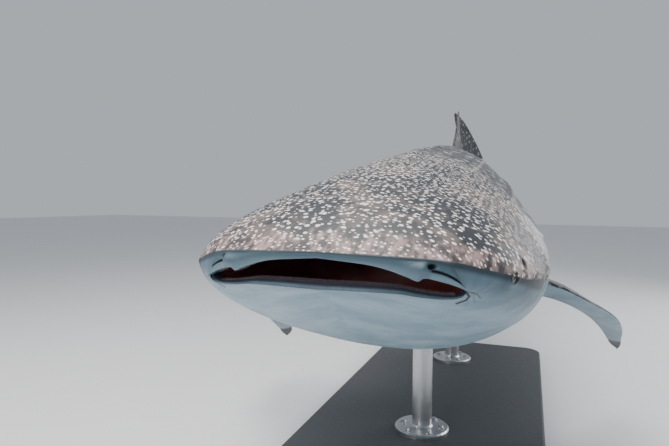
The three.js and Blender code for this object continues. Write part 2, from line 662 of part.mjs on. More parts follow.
const SKIN = new THREE.MeshStandardMaterial({ color: 0x5d6468, roughness: 0.6, metalness: 0 });
const BELLY_SKIN = new THREE.MeshStandardMaterial({ color: 0xc9d6da, roughness: 0.6, metalness: 0 });
const EYE = new THREE.MeshStandardMaterial({ color: 0x14110f, roughness: 0.08, metalness: 0 });
const BASE = new THREE.MeshStandardMaterial({ color: 0x2e3133, roughness: 0.55, metalness: 0 });
const STEEL = new THREE.MeshStandardMaterial({ color: 0x9a9da0, roughness: 0.35, metalness: 1 });
const whaleShark = new THREE.Group();
function addNode(name, solid, material) {
  const { numProp, vertProperties, triVerts } = solid.simplify(FINEST).getMesh();
  const geometry = new THREE.BufferGeometry();
  geometry.setAttribute("position", new THREE.BufferAttribute(vertProperties, numProp));
  geometry.setIndex(new THREE.BufferAttribute(triVerts, 1));
  const mesh = new THREE.Mesh(geometry, material);
  mesh.name = name;
  whaleShark.add(mesh);
}
addNode("head", head, SKIN);
addNode("lower_jaw", jaw, BELLY_SKIN);
addNode("gill_region", largest(bodyLength(NECK, SHOULDER)), SKIN);
addNode("trunk", largest(bodyLength(SHOULDER, TAIL_START)), SKIN);
addNode("tail_stalk", largest(bodyLength(TAIL_START, null)), SKIN);
addNode("first_dorsal_fin", onBody(fin(FIRST_DORSAL)), SKIN);
addNode("second_dorsal_fin", onBody(fin(SECOND_DORSAL)), SKIN);
addNode("anal_fin", onBody(fin(ANAL)), SKIN);
addNode("tail_fin_upper_lobe", tailUpper, SKIN);
addNode("tail_fin_lower_lobe", tailLower, SKIN);
addNode("pectoral_fin_left", onBody(fin(PECTORAL)), SKIN);
addNode("pectoral_fin_right", onBody(fin(onRight(PECTORAL_RIGHT))), SKIN);
addNode("pelvic_fin_left", onBody(fin(PELVIC)), SKIN);
addNode("pelvic_fin_right", onBody(fin(onRight(PELVIC))), SKIN);
for (const side of ["left", "right"]) {
  addNode(`eye_${side}`, ballAt(eyeCentre(side), [EYE_RADIUS, EYE_RADIUS, EYE_RADIUS], 16), EYE);
}
addNode("stand_base", standBase(), BASE);
addNode("stand_rod_front", standRod(ROD_STATIONS.front), STEEL);
addNode("stand_rod_rear", standRod(ROD_STATIONS.rear), STEEL);

export default whaleShark;
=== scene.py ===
# Whale shark, a still life-size model on a plain stand. Metres, +Z up, the shark faces -Y.
import math

import bmesh
import bpy
import numpy as np
from mathutils import Euler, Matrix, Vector
from mathutils.kdtree import KDTree


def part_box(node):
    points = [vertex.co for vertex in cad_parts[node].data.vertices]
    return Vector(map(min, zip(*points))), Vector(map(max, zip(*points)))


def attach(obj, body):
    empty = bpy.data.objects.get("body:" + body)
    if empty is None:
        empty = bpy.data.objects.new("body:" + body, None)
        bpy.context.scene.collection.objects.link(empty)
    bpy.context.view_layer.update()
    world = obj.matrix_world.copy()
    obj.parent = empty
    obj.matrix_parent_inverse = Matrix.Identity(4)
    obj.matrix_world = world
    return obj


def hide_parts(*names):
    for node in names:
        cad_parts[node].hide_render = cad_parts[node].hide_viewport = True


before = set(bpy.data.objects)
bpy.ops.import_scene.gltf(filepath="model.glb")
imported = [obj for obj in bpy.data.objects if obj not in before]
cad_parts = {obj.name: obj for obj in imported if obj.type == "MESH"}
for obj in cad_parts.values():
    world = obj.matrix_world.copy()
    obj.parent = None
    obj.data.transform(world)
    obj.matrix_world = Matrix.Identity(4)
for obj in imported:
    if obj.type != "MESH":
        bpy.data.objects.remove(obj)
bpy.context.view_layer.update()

# The body. One continuous hide runs from the tail forward over the flanks and the gill flaps,
# round the broad flat head, over the lips and into the dark throat. It is laid out straight, in
# shares of the length, and then bent along the spine, as the animal bends when it swims.
TOTAL_LENGTH = 6.5
SNOUT_HEIGHT = 1.2
STAND_AT = 0.36


def curve_through(pairs):
    """A smooth curve through (position, value) pairs that never overshoots them."""
    x, y = np.array(pairs, float).T
    slope = np.diff(y) / np.diff(x)
    tangent = np.empty(len(x))
    tangent[0], tangent[-1] = slope[0], slope[-1]
    a, b = slope[:-1], slope[1:]
    total = np.where(a * b > 0, a + b, 1.0)
    tangent[1:-1] = np.where(a * b > 0, 2 * a * b / total, 0.0)

    def value(at):
        at = np.clip(np.asarray(at, float), x[0], x[-1])
        i = np.clip(np.searchsorted(x, at, side="right") - 1, 0, len(x) - 2)
        h = x[i + 1] - x[i]
        t = (at - x[i]) / h
        t2, t3 = t * t, t * t * t
        return (
            (2 * t3 - 3 * t2 + 1) * y[i]
            + (t3 - 2 * t2 + t) * h * tangent[i]
            + (3 * t2 - 2 * t3) * y[i + 1]
            + (t3 - t2) * h * tangent[i + 1]
        )

    return value


half_width = curve_through([
    (0, 0.089), (0.03, 0.0895), (0.055, 0.09), (0.09, 0.0915), (0.14, 0.094), (0.2, 0.0955),
    (0.28, 0.091), (0.36, 0.082), (0.44, 0.071), (0.52, 0.058), (0.6, 0.045), (0.68, 0.032),
    (0.74, 0.024), (0.79, 0.0175), (0.82, 0.0105), (0.85, 0.005), (0.87, 0.0028),
])
back_height = curve_through([
    (0, 0), (0.0015, 0.0028), (0.005, 0.0062), (0.012, 0.0104), (0.03, 0.0185),
    (0.055, 0.0275), (0.09, 0.0375), (0.14, 0.048), (0.2, 0.058), (0.28, 0.068), (0.36, 0.077),
    (0.44, 0.082), (0.52, 0.077), (0.6, 0.066), (0.68, 0.052), (0.74, 0.042), (0.79, 0.041),
    (0.82, 0.045), (0.85, 0.044), (0.87, 0.038),
])
belly_height = curve_through([
    (0, -0.018), (0.012, -0.025), (0.03, -0.036), (0.055, -0.048), (0.09, -0.061),
    (0.14, -0.076), (0.2, -0.088), (0.28, -0.092), (0.36, -0.086), (0.44, -0.074),
    (0.52, -0.057), (0.6, -0.04), (0.68, -0.021), (0.74, -0.008), (0.79, 0), (0.82, 0.004),
    (0.85, 0.012), (0.87, 0.022),
])
side_height = curve_through([
    (0, -0.004), (0.012, -0.007), (0.03, -0.01), (0.055, -0.013), (0.09, -0.016),
    (0.14, -0.018), (0.2, -0.018), (0.28, -0.012), (0.36, -0.004), (0.44, 0.003),
    (0.52, 0.01), (0.68, 0.016), (0.79, 0.02), (0.87, 0.03),
])
back_spread = curve_through([
    (0, 2.2), (0.03, 2.1), (0.09, 1.9), (0.2, 1.8), (0.44, 1.8), (0.6, 2), (0.79, 2),
])
back_roundness = curve_through([
    (0, 1.9), (0.03, 1.7), (0.09, 1.5), (0.2, 1.4), (0.36, 1.45), (0.52, 1.7), (0.68, 2),
    (0.79, 2),
])
heading = curve_through([
    (0.25, 0), (0.4, -1.5), (0.5, 0), (0.65, 7), (0.74, 4), (0.82, -15), (0.9, -29), (1, -36),
])
SPINE_STEPS, SPINE_END = 400, 1.1
spine_at = np.linspace(0, SPINE_END, SPINE_STEPS + 1)
bend = np.radians(heading((spine_at[1:] + spine_at[:-1]) / 2))
spine_step = SPINE_END / SPINE_STEPS
spine_x = np.concatenate([[0], np.cumsum(np.sin(bend) * spine_step)])
spine_y = np.concatenate([[0], np.cumsum(np.cos(bend) * spine_step)])


def posed(rest):
    """From the straight body, in shares of its length, to its place in the pose."""
    x, y, z = np.asarray(rest, float).T
    angle = np.radians(heading(y))
    mid_x = np.interp(np.maximum(y, 0), spine_at, spine_x)
    mid_y = np.interp(np.maximum(y, 0), spine_at, spine_y) + np.minimum(y, 0)
    return np.stack([
        (mid_x + x * np.cos(angle)) * TOTAL_LENGTH,
        (mid_y - x * np.sin(angle) - STAND_AT) * TOTAL_LENGTH,
        z * TOTAL_LENGTH + SNOUT_HEIGHT,
    ], axis=-1)


HEAD_ROUNDING, HEAD_SQUARENESS, HEAD_END = 0.075, 2.6, 0.13
MOUTH_HALF_WIDTH = 0.0605
OUTLINE_STEPS = 4001


def outline_width(y):
    """Half the width of the body seen from above, with the blunt round front of the head."""
    ahead = np.clip(1 - np.asarray(y, float) / HEAD_ROUNDING, 0, 1)
    return half_width(y) * np.power(1 - ahead * ahead, 1 / HEAD_SQUARENESS)


front_at = np.linspace(0, HEAD_ROUNDING, OUTLINE_STEPS) ** 2 / HEAD_ROUNDING
front_width = np.maximum.accumulate(outline_width(front_at))


def rim_station(x):
    """How far behind the snout the outline of the head has this half width."""
    return np.interp(np.abs(x), front_width, front_at)


def ramp(value, low, high):
    """A soft step from 0 to 1 between low and high."""
    t = np.clip((np.asarray(value, float) - low) / (high - low), 0, 1)
    return t * t * (3 - 2 * t)


# Three ridges run along each flank and one along the back: angle, start, end and height.
RIDGES = [(20, 0.16, 0.8, 0.0016), (42, 0.14, 0.74, 0.0018), (62, 0.14, 0.66, 0.0016)]
BACK_RIDGE = (0.16, 0.45, 0.0022)
RIDGE_WIDTH, BACK_RIDGE_WIDTH, RIDGE_FADE = 2.17, 3.5, 0.05
KEEL_FROM, KEEL_FULL, KEEL_HEIGHT, KEEL_HALF_ANGLE = 0.66, 0.76, 0.009, 14


def bell(value, middle, width):
    """1 at the middle, falling off softly over the width."""
    return np.exp(-(((value - middle) / width) ** 2))


def fade_between(y, low, high):
    return ramp(y, low, low + RIDGE_FADE) * (1 - ramp(y, high - RIDGE_FADE, high))


def ridge_lift(y, degrees):
    side = np.where(degrees > 90, 180 - degrees, degrees)
    lift = np.zeros_like(side, float)
    for angle, low, high, height in RIDGES:
        lift += height * bell(side, angle, RIDGE_WIDTH) * fade_between(y, low, high)
    low, high, height = BACK_RIDGE
    return lift + height * bell(side, 90, BACK_RIDGE_WIDTH) * fade_between(y, low, high)


def keel_lift(y, degrees):
    side = np.minimum(np.minimum(abs(degrees), abs(180 - degrees)), abs(360 - degrees))
    near = np.clip(1 - side / KEEL_HALF_ANGLE, 0, 1)
    return KEEL_HEIGHT * near * near * ramp(y, KEEL_FROM, KEEL_FULL)


GILL_STATIONS = [0.138, 0.155, 0.171, 0.186, 0.2]
GILL_TOPS = [0.026, 0.028, 0.028, 0.024, 0.016]
GILL_BOTTOMS = [-0.056, -0.056, -0.052, -0.044, -0.03]
GILL_FLAP, GILL_GROOVE, GILL_LIFT, GILL_DEPTH = 0.004, 0.0012, 0.0016, 0.0028


def gill_lift(y, z):
    """How far the skin stands out at a gill flap, or drops into the slit behind it."""
    lift = np.zeros(np.broadcast(y, z).shape)
    for at, top, bottom in zip(GILL_STATIONS, GILL_TOPS, GILL_BOTTOMS):
        middle, half = (top + bottom) / 2, (top - bottom) / 2
        reach = 1 - np.clip(abs(z - middle) / half, 0, 1) ** 4
        ahead = at - y
        flap = np.where(
            (ahead >= 0) & (ahead <= GILL_FLAP * 2), GILL_LIFT * (1 - ahead / (GILL_FLAP * 2)), 0
        )
        into = -ahead / GILL_GROOVE
        drop = np.where(
            into < 1,
            GILL_LIFT - (GILL_LIFT + GILL_DEPTH) * into,
            -GILL_DEPTH * (1 - (-ahead - GILL_GROOVE) / (GILL_FLAP - GILL_GROOVE)),
        )
        slit = np.where((ahead < 0) & (ahead > -GILL_FLAP), drop, 0)
        lift += (flap + slit) * reach
    return lift


BELLY_SPREAD = 2.2
LEAST, NEAR_ZERO = 1e-4, 1e-9


def skin_point(x, y, degrees, share=None):
    """Points on the skin of the straight body: 0 degrees left, 90 back, 270 belly."""
    width = np.maximum(outline_width(y), LEAST)
    f = np.clip(np.abs(x) / width, 0, 1) if share is None else share
    upper = np.power(1 - np.power(f, back_spread(y)), 1 / back_roundness(y))
    lower = np.sqrt(1 - np.power(f, BELLY_SPREAD))
    middle = side_height(y)
    top = np.maximum(back_height(y) - middle, LEAST)
    bottom = belly_height(y) - middle
    is_back = degrees <= 180
    z = middle + np.where(is_back, top * upper, bottom * lower)
    out_x, out_z = x / (width * width), (z - middle) / (top * top)
    size = np.maximum(np.hypot(out_x, out_z), NEAR_ZERO)
    lift = keel_lift(y, degrees) + gill_lift(y, z) + np.where(is_back, ridge_lift(y, degrees), 0)
    return np.stack([x + out_x / size * lift, y + 0 * x, z + out_z / size * lift], axis=-1)


# Columns run from the left flank over the back to the right and back under the belly.
BACK_COLUMNS, BELLY_COLUMNS = 168, 88
degrees = np.concatenate([
    np.linspace(0, 180, BACK_COLUMNS, endpoint=False),
    np.linspace(180, 360, BELLY_COLUMNS, endpoint=False),
])
across = np.cos(np.radians(degrees))
is_back = degrees <= 180
opening = np.sqrt(np.maximum(1 - across**2, 0))

# The lips. Under the sharp front rim of the head the face drops to a thin upper lip, and the
# lower jaw closes up against it a little behind. The heights of the rim and of both lips go by
# the share of the way from the middle to the corner of the mouth.
upper_lip = curve_through([
    (0, -0.0028), (0.17, -0.0036), (0.36, -0.0047), (0.5, -0.0066), (0.62, -0.0092),
    (0.694, -0.0109), (0.73, -0.0096), (0.85, -0.0112), (0.97, -0.0142), (1, -0.0155),
])
lower_lip = curve_through([
    (0, -0.0164), (0.35, -0.0161), (0.55, -0.0163), (0.7, -0.0175), (0.88, -0.0184),
    (0.96, -0.0176), (1, -0.0155),
])
rim_height = curve_through([
    (0, 0), (0.42, -0.0007), (0.65, -0.0013), (0.78, -0.0019), (0.88, -0.0034), (1, -0.0155),
])
LIP_SET_BACK, UPPER_SET_BACK, LOWER_SET_BACK = 0.001, 0.0015, 0.006
CHIN_SET_BACK, CHIN_FADE, BROW_FADE = 0.004, 10, 14
lip_share = np.abs(across)
lip_x = lip_share * MOUTH_HALF_WIDTH


def face_ring(u):
    """A ring of the head: u is 0 at the rim and the lower lip, and 1 at the end of the head."""
    corner = rim_station(MOUTH_HALF_WIDTH)
    side_station = (1 - u) * corner + u * HEAD_END
    x = across * outline_width(side_station)
    y = (1 - u) * rim_station(MOUTH_HALF_WIDTH * across) + u * HEAD_END
    back = skin_point(x, y, degrees)
    edge = (1 - u) ** BROW_FADE
    back[:, 2] = back[:, 2] * (1 - edge) + rim_height(lip_share) * edge
    chin = skin_point(x, y, degrees, lip_share)
    near = (1 - u) ** CHIN_FADE
    chin[:, 1] += CHIN_SET_BACK * opening * near
    chin[:, 2] = chin[:, 2] * (1 - near) + lower_lip(lip_share) * near
    return np.where(is_back[:, None], back, chin)


def lip_ring(spread, back, above, below):
    """A ring at the edge of the mouth, or inside it by the given steps."""
    set_back = np.where(is_back, UPPER_SET_BACK, LOWER_SET_BACK)
    y = rim_station(MOUTH_HALF_WIDTH * across) + set_back * opening + LIP_SET_BACK + back
    z = np.where(is_back, upper_lip(lip_share), lower_lip(lip_share))
    z = z + np.where(is_back, above, below) * opening
    return np.stack([across * MOUTH_HALF_WIDTH * spread, y, z], axis=-1)


# Each nostril opens at the top of a lobe of the upper lip, and from its outer side a
# leaf-shaped fold of the lip runs back to the corner.
ROUND_SHARE, ROUND_MOST, ROUND_SPEED = 0.2, 0.0012, 1.1
LOBE_X, LOBE_INNER, LOBE_OUTER, LOBE_PUSH, LOBE_FROM = 0.0438, 0.0075, 0.0028, 0.0024, 0.12
NOSTRIL_X, NOSTRIL_Z, PIT_RADIUS, PIT_DEPTH, PIT_LONG = 0.0468, -0.0047, 0.00105, 0.0042, 1.7
LUMP_INWARD, LUMP_RADIUS, LUMP_PUSH, LUMP_LONG = 0.003, 0.0024, 0.0011, 1.5
FOLD_FROM, FOLD_LONG, FOLD_TOP, FOLD_DROP, FOLD_CURVE = 0.0458, 0.0138, -0.0064, 0.0068, 1.9
LEAF_EDGE, LEAF_PUSH, LEAF_END = 0.0005, 0.0011, 0.9
GROOVE_WIDTH, GROOVE_DEPTH, GROOVE_START = 0.00055, 0.0016, 0.12
LIP_SIDEWAYS, LIP_FORWARD = 0.55, 0.15


def lip_strip(s):
    """The front of the lips from the rim to the mouth, with painted shade in its folds and
    nostrils.
    """
    rim, edge = face_ring(0.0), lip_ring(1, 0, 0, 0)
    ring = rim * (1 - s) + edge * s
    z = ring[:, 2]
    most = np.minimum(np.abs(rim[:, 2] - edge[:, 2]) * ROUND_SHARE, ROUND_MOST)
    round_over = most * math.sin(math.pi * min(s * ROUND_SPEED, 1.0))
    lobe = bell(lip_x, LOBE_X, np.where(lip_x < LOBE_X, LOBE_INNER, LOBE_OUTER))
    lobe = lobe * math.sin(math.pi * min(max(s - LOBE_FROM, 0) * ROUND_SPEED, 1.0))
    beside = lip_x - NOSTRIL_X
    lump = bell(np.hypot((beside + LUMP_INWARD) / LUMP_LONG, z - NOSTRIL_Z), 0, LUMP_RADIUS)
    pit = bell(np.hypot(beside / PIT_LONG, z - NOSTRIL_Z), 0, PIT_RADIUS)
    past = np.clip((lip_x - FOLD_FROM) / FOLD_LONG, 0, 1)
    fold_line = FOLD_TOP - FOLD_DROP * past**FOLD_CURVE
    begun = ramp(past, 0, GROOVE_START)
    leaf = ramp(fold_line - z, 0, LEAF_EDGE) * begun * (1 - ramp(past, LEAF_END, 1))
    groove = bell(z, fold_line, GROOVE_WIDTH) * begun
    groove = groove * (1 - 0.6 * ramp(past, 0.85, 1))
    push = (round_over + LOBE_PUSH * lobe + LUMP_PUSH * lump - PIT_DEPTH * pit
            + LEAF_PUSH * leaf - GROOVE_DEPTH * groove)
    push = np.where(is_back, push, round_over)
    toward = np.stack([across * LIP_SIDEWAYS, -opening - LIP_FORWARD, 0 * across], axis=-1)
    toward /= np.linalg.norm(toward, axis=1)[:, None]
    shade = np.where(is_back, np.maximum(groove, 1.2 * pit), 0)
    return ring + toward * push[:, None], np.clip(shade, 0, 1)


# The rings of the hide, from the end of the tail forward: closer at the gills, crowded towards
# the rim, then down the lips, and in over the gums to the throat by (back, spread, roof, floor).
TAIL_RINGS, TRUNK_END, TRUNK_STEP = [0.87, 0.862], 0.214, 0.0068
FACE_RINGS, FACE_CROWDING, LIP_RINGS = 58, 1.9, 34
stations = list(TAIL_RINGS)
while stations[-1] > TRUNK_END:
    stations.append(stations[-1] - TRUNK_STEP)
for at in sorted(GILL_STATIONS, reverse=True):
    stations += [at + GILL_FLAP * k for k in (1.0, 0.75, 0.5)]
    stations += [at + GILL_GROOVE * k for k in (1.0, 0.55, 0.15, 0.0)]
    stations += [at - GILL_FLAP * k for k in (0.1, 0.35, 0.8, 1.4, 2.0)]
stations = sorted((s for s in set(stations) if s > HEAD_END + 0.001), reverse=True)
rings = []
for y in stations:
    ring_y = np.full(len(degrees), y)
    rings.append(skin_point(across * outline_width(ring_y), ring_y, degrees))
face_shares = (1 - np.arange(FACE_RINGS) / FACE_RINGS) ** FACE_CROWDING
rings += [face_ring(u) for u in face_shares]
outside_rings = len(rings)
lip_shades = []
for i in range(LIP_RINGS + 1):
    ring, shade = lip_strip(i / LIP_RINGS)
    rings.append(ring)
    lip_shades.append(shade)
lip_rings = len(rings)
MOUTH_STEPS = [
    (0.0013, 0.996, 0.0003, 0.0009), (0.0032, 0.986, 0.0007, 0.0021),
    (0.0055, 0.975, 0.001, 0.0028), (0.008, 0.963, 0.0015, 0.0021),
    (0.011, 0.95, 0.002, -0.0016), (0.015, 0.94, 0.0027, -0.0055), (0.02, 0.93, 0.0035, -0.009),
    (0.03, 0.9, 0.006, -0.013), (0.042, 0.87, 0.008, -0.0165), (0.054, 0.84, 0.0097, -0.02),
    (0.066, 0.79, 0.0108, -0.022), (0.077, 0.69, 0.009, -0.0205), (0.085, 0.55, 0.006, -0.018),
]
for back, spread, roof, floor in MOUTH_STEPS:
    rings.append(lip_ring(spread, back, roof, floor))
grid = np.array(rings)

# The marks of the skin. Every point of the hide knows where it lies, and how much it belongs to
# the mouth, a crease, the pale underside, the upper lip, the dark edge or the crest of a ridge.
# The material reads these, so its pattern follows the animal and not the space round it.
GUM_STEPS, LIP_TOP = 5, 0.12
PALE_FROM, PALE_TO, SHARP_FROM, SHARP_TO, RIM_PALE = -0.004, 0.012, -0.0008, 0.0012, 0.6
CREST_WIDTH, CRESTS_AHEAD, MARK_REACH = 1.1, (0.08, 0.02, 0.0), 0.046


def arc_from_back(ring):
    """Distance along a ring from the middle of the back, positive on the left."""
    length = np.linalg.norm(np.roll(ring, -1, axis=0) - ring, axis=1)
    total = np.concatenate([[0], np.cumsum(length)[:-1]])
    middle = total[BACK_COLUMNS // 2]
    whole = length.sum()
    return (middle - total + whole / 2) % whole - whole / 2


arc = np.array([arc_from_back(ring) for ring in rings]) * TOTAL_LENGTH
arc[outside_rings:] = arc[outside_rings - 1]
along = grid[:, :, 1] * TOTAL_LENGTH
mouth, crease, inward, lip, crest = np.zeros((5, *grid.shape[:2]))
for i in range(len(MOUTH_STEPS)):
    mouth[lip_rings + i] = min((i + 1) / GUM_STEPS, 1.0)
# Slits and folds count up to 1, for painted shade, and the edges of the gill flaps down to -1, for
# a painted highlight.
gills = gill_lift(grid[:outside_rings, :, 1], grid[:outside_rings, :, 2])
crease[:outside_rings] = np.where(gills < 0, np.clip(-gills / GILL_DEPTH, 0, 1),
                                  -np.clip(gills / GILL_LIFT * 2 - 1, 0, 1))
crease[outside_rings:lip_rings] = lip_shades
# How far each ring lies in from the rim, in metres, and how far down the upper lip, as a share.
for i in range(outside_rings, len(rings)):
    inward[i] = inward[i - 1] + np.linalg.norm(rings[i] - rings[i - 1], axis=1) * TOTAL_LENGTH
for i in range(LIP_RINGS + 1):
    lip[outside_rings + i] = np.where(is_back, LIP_TOP + (1 - LIP_TOP) * i / LIP_RINGS, 0)
lip[lip_rings:lip_rings + 2] = np.where(is_back, 1.0, 0)
# The belly and the underside of the lips are pale, and the colour changes at the rim.
colour_edge = curve_through([
    (0, 0.0004), (0.007, -0.0012), (0.0134, -0.003), (0.027, -0.0078), (0.034, -0.0098),
    (0.06, -0.0165), (0.12, -0.02), (0.2, -0.026), (0.32, -0.03),
    (0.5, -0.016), (0.7, -0.004), (0.87, 0.0),
])
under_edge = colour_edge(grid[:, :, 1]) - grid[:, :, 2]
pale = ramp(under_edge, PALE_FROM, PALE_TO)
pale[outside_rings] = RIM_PALE
pale[outside_rings + 1:] = 1.0
for row, u in enumerate(face_shares, outside_rings - FACE_RINGS):
    sharp = ramp(under_edge[row], SHARP_FROM, SHARP_TO)
    soft = ramp(u, 0.3, 0.9)
    pale[row] = np.where(is_back, pale[row] * soft + sharp * (1 - soft),
                         np.maximum(pale[row], 1 - ramp(u, 0.35, 0.9)))
# How far each point lies below the edge of the dark back, in metres.
below = np.clip(under_edge, -MARK_REACH, MARK_REACH) * TOTAL_LENGTH
# The crests of the ridges carry a painted highlight, which shows on the head before they stand up.
flank = np.where(degrees > 90, 180 - degrees, degrees)
run = grid[:outside_rings, :, 1]
for (angle, low, high, _), ahead in zip(RIDGES, CRESTS_AHEAD):
    line = bell(flank, angle, CREST_WIDTH)
    crest[:outside_rings] += line * is_back * fade_between(run, low - ahead, high)


def closed_grid(rows, columns):
    """Quads of a grid whose columns close on themselves, with a fan at each end."""
    faces = []
    for i in range(rows - 1):
        for j in range(columns):
            k = (j + 1) % columns
            faces.append((i * columns + j, i * columns + k, (i + 1) * columns + k,
                          (i + 1) * columns + j))
    faces.append(tuple(reversed(range(columns))))
    faces.append(tuple(range((rows - 1) * columns, rows * columns)))
    return faces


def in_scene(name, data):
    made = bpy.data.objects.new(name, data)
    bpy.context.scene.collection.objects.link(made)
    return made


def mesh_object(name, points, faces):
    mesh = bpy.data.meshes.new(name)
    mesh.from_pydata([tuple(p) for p in points], [], faces)
    mesh.update()
    bm = bmesh.new()
    bm.from_mesh(mesh)
    bmesh.ops.recalc_face_normals(bm, faces=bm.faces)
    bm.to_mesh(mesh)
    bm.free()
    mesh.polygons.foreach_set("use_smooth", [True] * len(mesh.polygons))
    return in_scene(name, mesh)


body_points = posed(grid.reshape(-1, 3))
skin = mesh_object("whale_shark_skin", body_points, closed_grid(len(rings), len(degrees)))
# Three of the marks are a place on the unrolled hide, and each of the others has its own name.
MARKS = ("mouth", "crease", "pale", "fin", "lip", "below", "crest")
known_points = [body_points]
known_marks = [np.stack([m.ravel() for m in (
    arc, along, inward, mouth, crease, pale, np.zeros_like(arc), lip, below, crest)], axis=-1)]

# The fins. Stiff, tapering blades of gristle under the same hide, rounded along the leading
# edge and thin behind. They grow out of the body, so each is joined to the hide and its root
# is eased into it.


def smooth_path(points, at):
    """A centripetal curve through points, at shares of its length of segments."""
    p = np.array(points, float)
    p = np.vstack([2 * p[0] - p[1], p, 2 * p[-1] - p[-2]])
    segments = len(p) - 3
    out = []
    for t in np.atleast_1d(at):
        s = min(int(t * segments), segments - 1)
        w = t * segments - s
        p0, p1, p2, p3 = p[s : s + 4]
        d0, d1, d2 = (np.linalg.norm(b - a) ** 0.5 for a, b in ((p0, p1), (p1, p2), (p2, p3)))
        t1 = ((p1 - p0) / d0 - (p2 - p0) / (d0 + d1) + (p2 - p1) / d1) * d1
        t2 = ((p2 - p1) / d1 - (p3 - p1) / (d1 + d2) + (p3 - p2) / d2) * d1
        a, b = 2 * p1 - 2 * p2 + t1 + t2, -3 * p1 + 3 * p2 - 2 * t1 - t2
        out.append(a * w**3 + b * w**2 + t1 * w + p1)
    return np.array(out)


def on_middle(points):
    return [(0, y, z) for y, z in points]


def mirrored(points):
    return [(-x, y, z) for x, y, z in points]


FIN_SPANS, FIN_CHORDS, FIN_THINNEST, FIN_TAPER = 46, 22, 0.0012, 0.35
NOSE_BULGE, MIDDLE_BULGE, EDGE_HALF = 1.35, 0.06, 0.012
SHADED_TIP_FROM, SHADED_TIP_TO, FIN_PALE, REAR_FIN_PALE, FIN_BELOW = 0.45, 0.62, 0.9, 0.35, 0.3
FINS = {
    "first_dorsal": dict(
        lead=[(0, 0.428, 0.06), (0, 0.446, 0.084), (0, 0.468, 0.105), (-0.0015, 0.489, 0.1235),
              (-0.003, 0.508, 0.1355), (-0.004, 0.521, 0.14)],
        trail=[(0, 0.532, 0.056), (0, 0.549, 0.0775), (0, 0.53, 0.088), (-0.001, 0.519, 0.103),
               (-0.0025, 0.52, 0.124), (-0.004, 0.526, 0.1385)],
        thickness=0.1, flat=(1, 0, 0)),
    "second_dorsal": dict(
        lead=on_middle([(0.63, 0.045), (0.642, 0.064), (0.655, 0.076), (0.667, 0.0855),
                        (0.673, 0.0885)]),
        trail=on_middle([(0.668, 0.038), (0.685, 0.054), (0.676, 0.0625), (0.672, 0.077),
                         (0.676, 0.0875)]),
        thickness=0.1, flat=(1, 0, 0)),
    "anal": dict(
        lead=on_middle([(0.648, -0.02), (0.661, -0.036), (0.676, -0.049), (0.688, -0.056)]),
        trail=on_middle([(0.684, -0.01), (0.699, -0.0235), (0.69, -0.036), (0.692, -0.0545)]),
        thickness=0.1, flat=(1, 0, 0)),
    "tail_upper": dict(
        lead=on_middle([(0.752, 0.032), (0.79, 0.048), (0.84, 0.088), (0.9, 0.14),
                        (0.955, 0.187), (0.99, 0.209)]),
        trail=on_middle([(0.81, 0.012), (0.872, 0.03), (0.912, 0.07), (0.952, 0.122),
                         (0.984, 0.172), (0.997, 0.2055)]),
        thickness=0.09, flat=(1, 0, 0)),
    "tail_lower": dict(
        lead=on_middle([(0.752, 0.012), (0.787, -0.006), (0.812, -0.035), (0.836, -0.068),
                        (0.856, -0.092)]),
        trail=on_middle([(0.81, 0.03), (0.862, 0.028), (0.853, -0.012), (0.854, -0.05),
                         (0.863, -0.0895)]),
        thickness=0.1, flat=(1, 0, 0)),
    "pectoral_left": dict(
        lead=[(0.07, 0.184, -0.03), (0.1, 0.191, -0.036), (0.126, 0.212, -0.05),
              (0.146, 0.243, -0.065), (0.157, 0.283, -0.083), (0.1615, 0.315, -0.0985),
              (0.164, 0.333, -0.108), (0.1635, 0.342, -0.113)],
        trail=[(0.064, 0.25, -0.046), (0.098, 0.262, -0.054), (0.114, 0.257, -0.06),
               (0.128, 0.271, -0.0695), (0.142, 0.3, -0.085), (0.152, 0.3275, -0.1005),
               (0.1575, 0.3405, -0.109), (0.1625, 0.343, -0.113)],
        thickness=0.15, flat=(0.35, 0, 1)),
    "pelvic_left": dict(
        lead=[(0.03, 0.474, -0.046), (0.05, 0.487, -0.064), (0.061, 0.505, -0.075),
              (0.065, 0.521, -0.082)],
        trail=[(0.026, 0.515, -0.042), (0.046, 0.532, -0.062), (0.055, 0.53, -0.071),
               (0.063, 0.528, -0.081)],
        thickness=0.12, flat=(0.8, 0, 0.6)),
}
# The right pectoral fin is held a little lower and further out than the left one.
DROOP_FROM, DROOP, DROOP_OUT = 0.07, 0.19, 0.06


def drooped(points):
    past = [max(x - DROOP_FROM, 0) for x, y, z in points]
    return [(x + p * DROOP_OUT, y, z - p * DROOP) for (x, y, z), p in zip(points, past)]


for name in ("pectoral", "pelvic"):
    left = FINS[name + "_left"]
    lead, trail = left["lead"], left["trail"]
    if name == "pectoral":
        lead, trail = drooped(lead), drooped(trail)
    x, y, z = left["flat"]
    FINS[name + "_right"] = dict(lead=mirrored(lead), trail=mirrored(trail),
                                 thickness=left["thickness"], flat=(-x, y, z))


def fin_points(lead, trail, thickness, flat):
    """Rows of points round a fin, from its root to its tip."""
    v = np.sin(np.linspace(0, 1, FIN_SPANS) * np.pi / 2)
    front, rear = smooth_path(lead, v), smooth_path(trail, v)
    normal = np.array(flat, float)
    normal /= np.linalg.norm(normal)
    t = (1 - np.cos(np.linspace(0, np.pi, FIN_CHORDS))) / 2
    half = (NOSE_BULGE * np.sqrt(t) + MIDDLE_BULGE * t) * (1 - t) + EDGE_HALF
    rows = []
    for a, b, s in zip(front, rear, v):
        chord = b - a
        depth = max(thickness * np.linalg.norm(chord) * (1 - FIN_TAPER * s), FIN_THINNEST)
        side = a + chord * t[:, None]
        offset = normal * (depth * half)[:, None]
        rows.append(np.vstack([side + offset, (side - offset)[::-1]]))
    return np.array(rows)


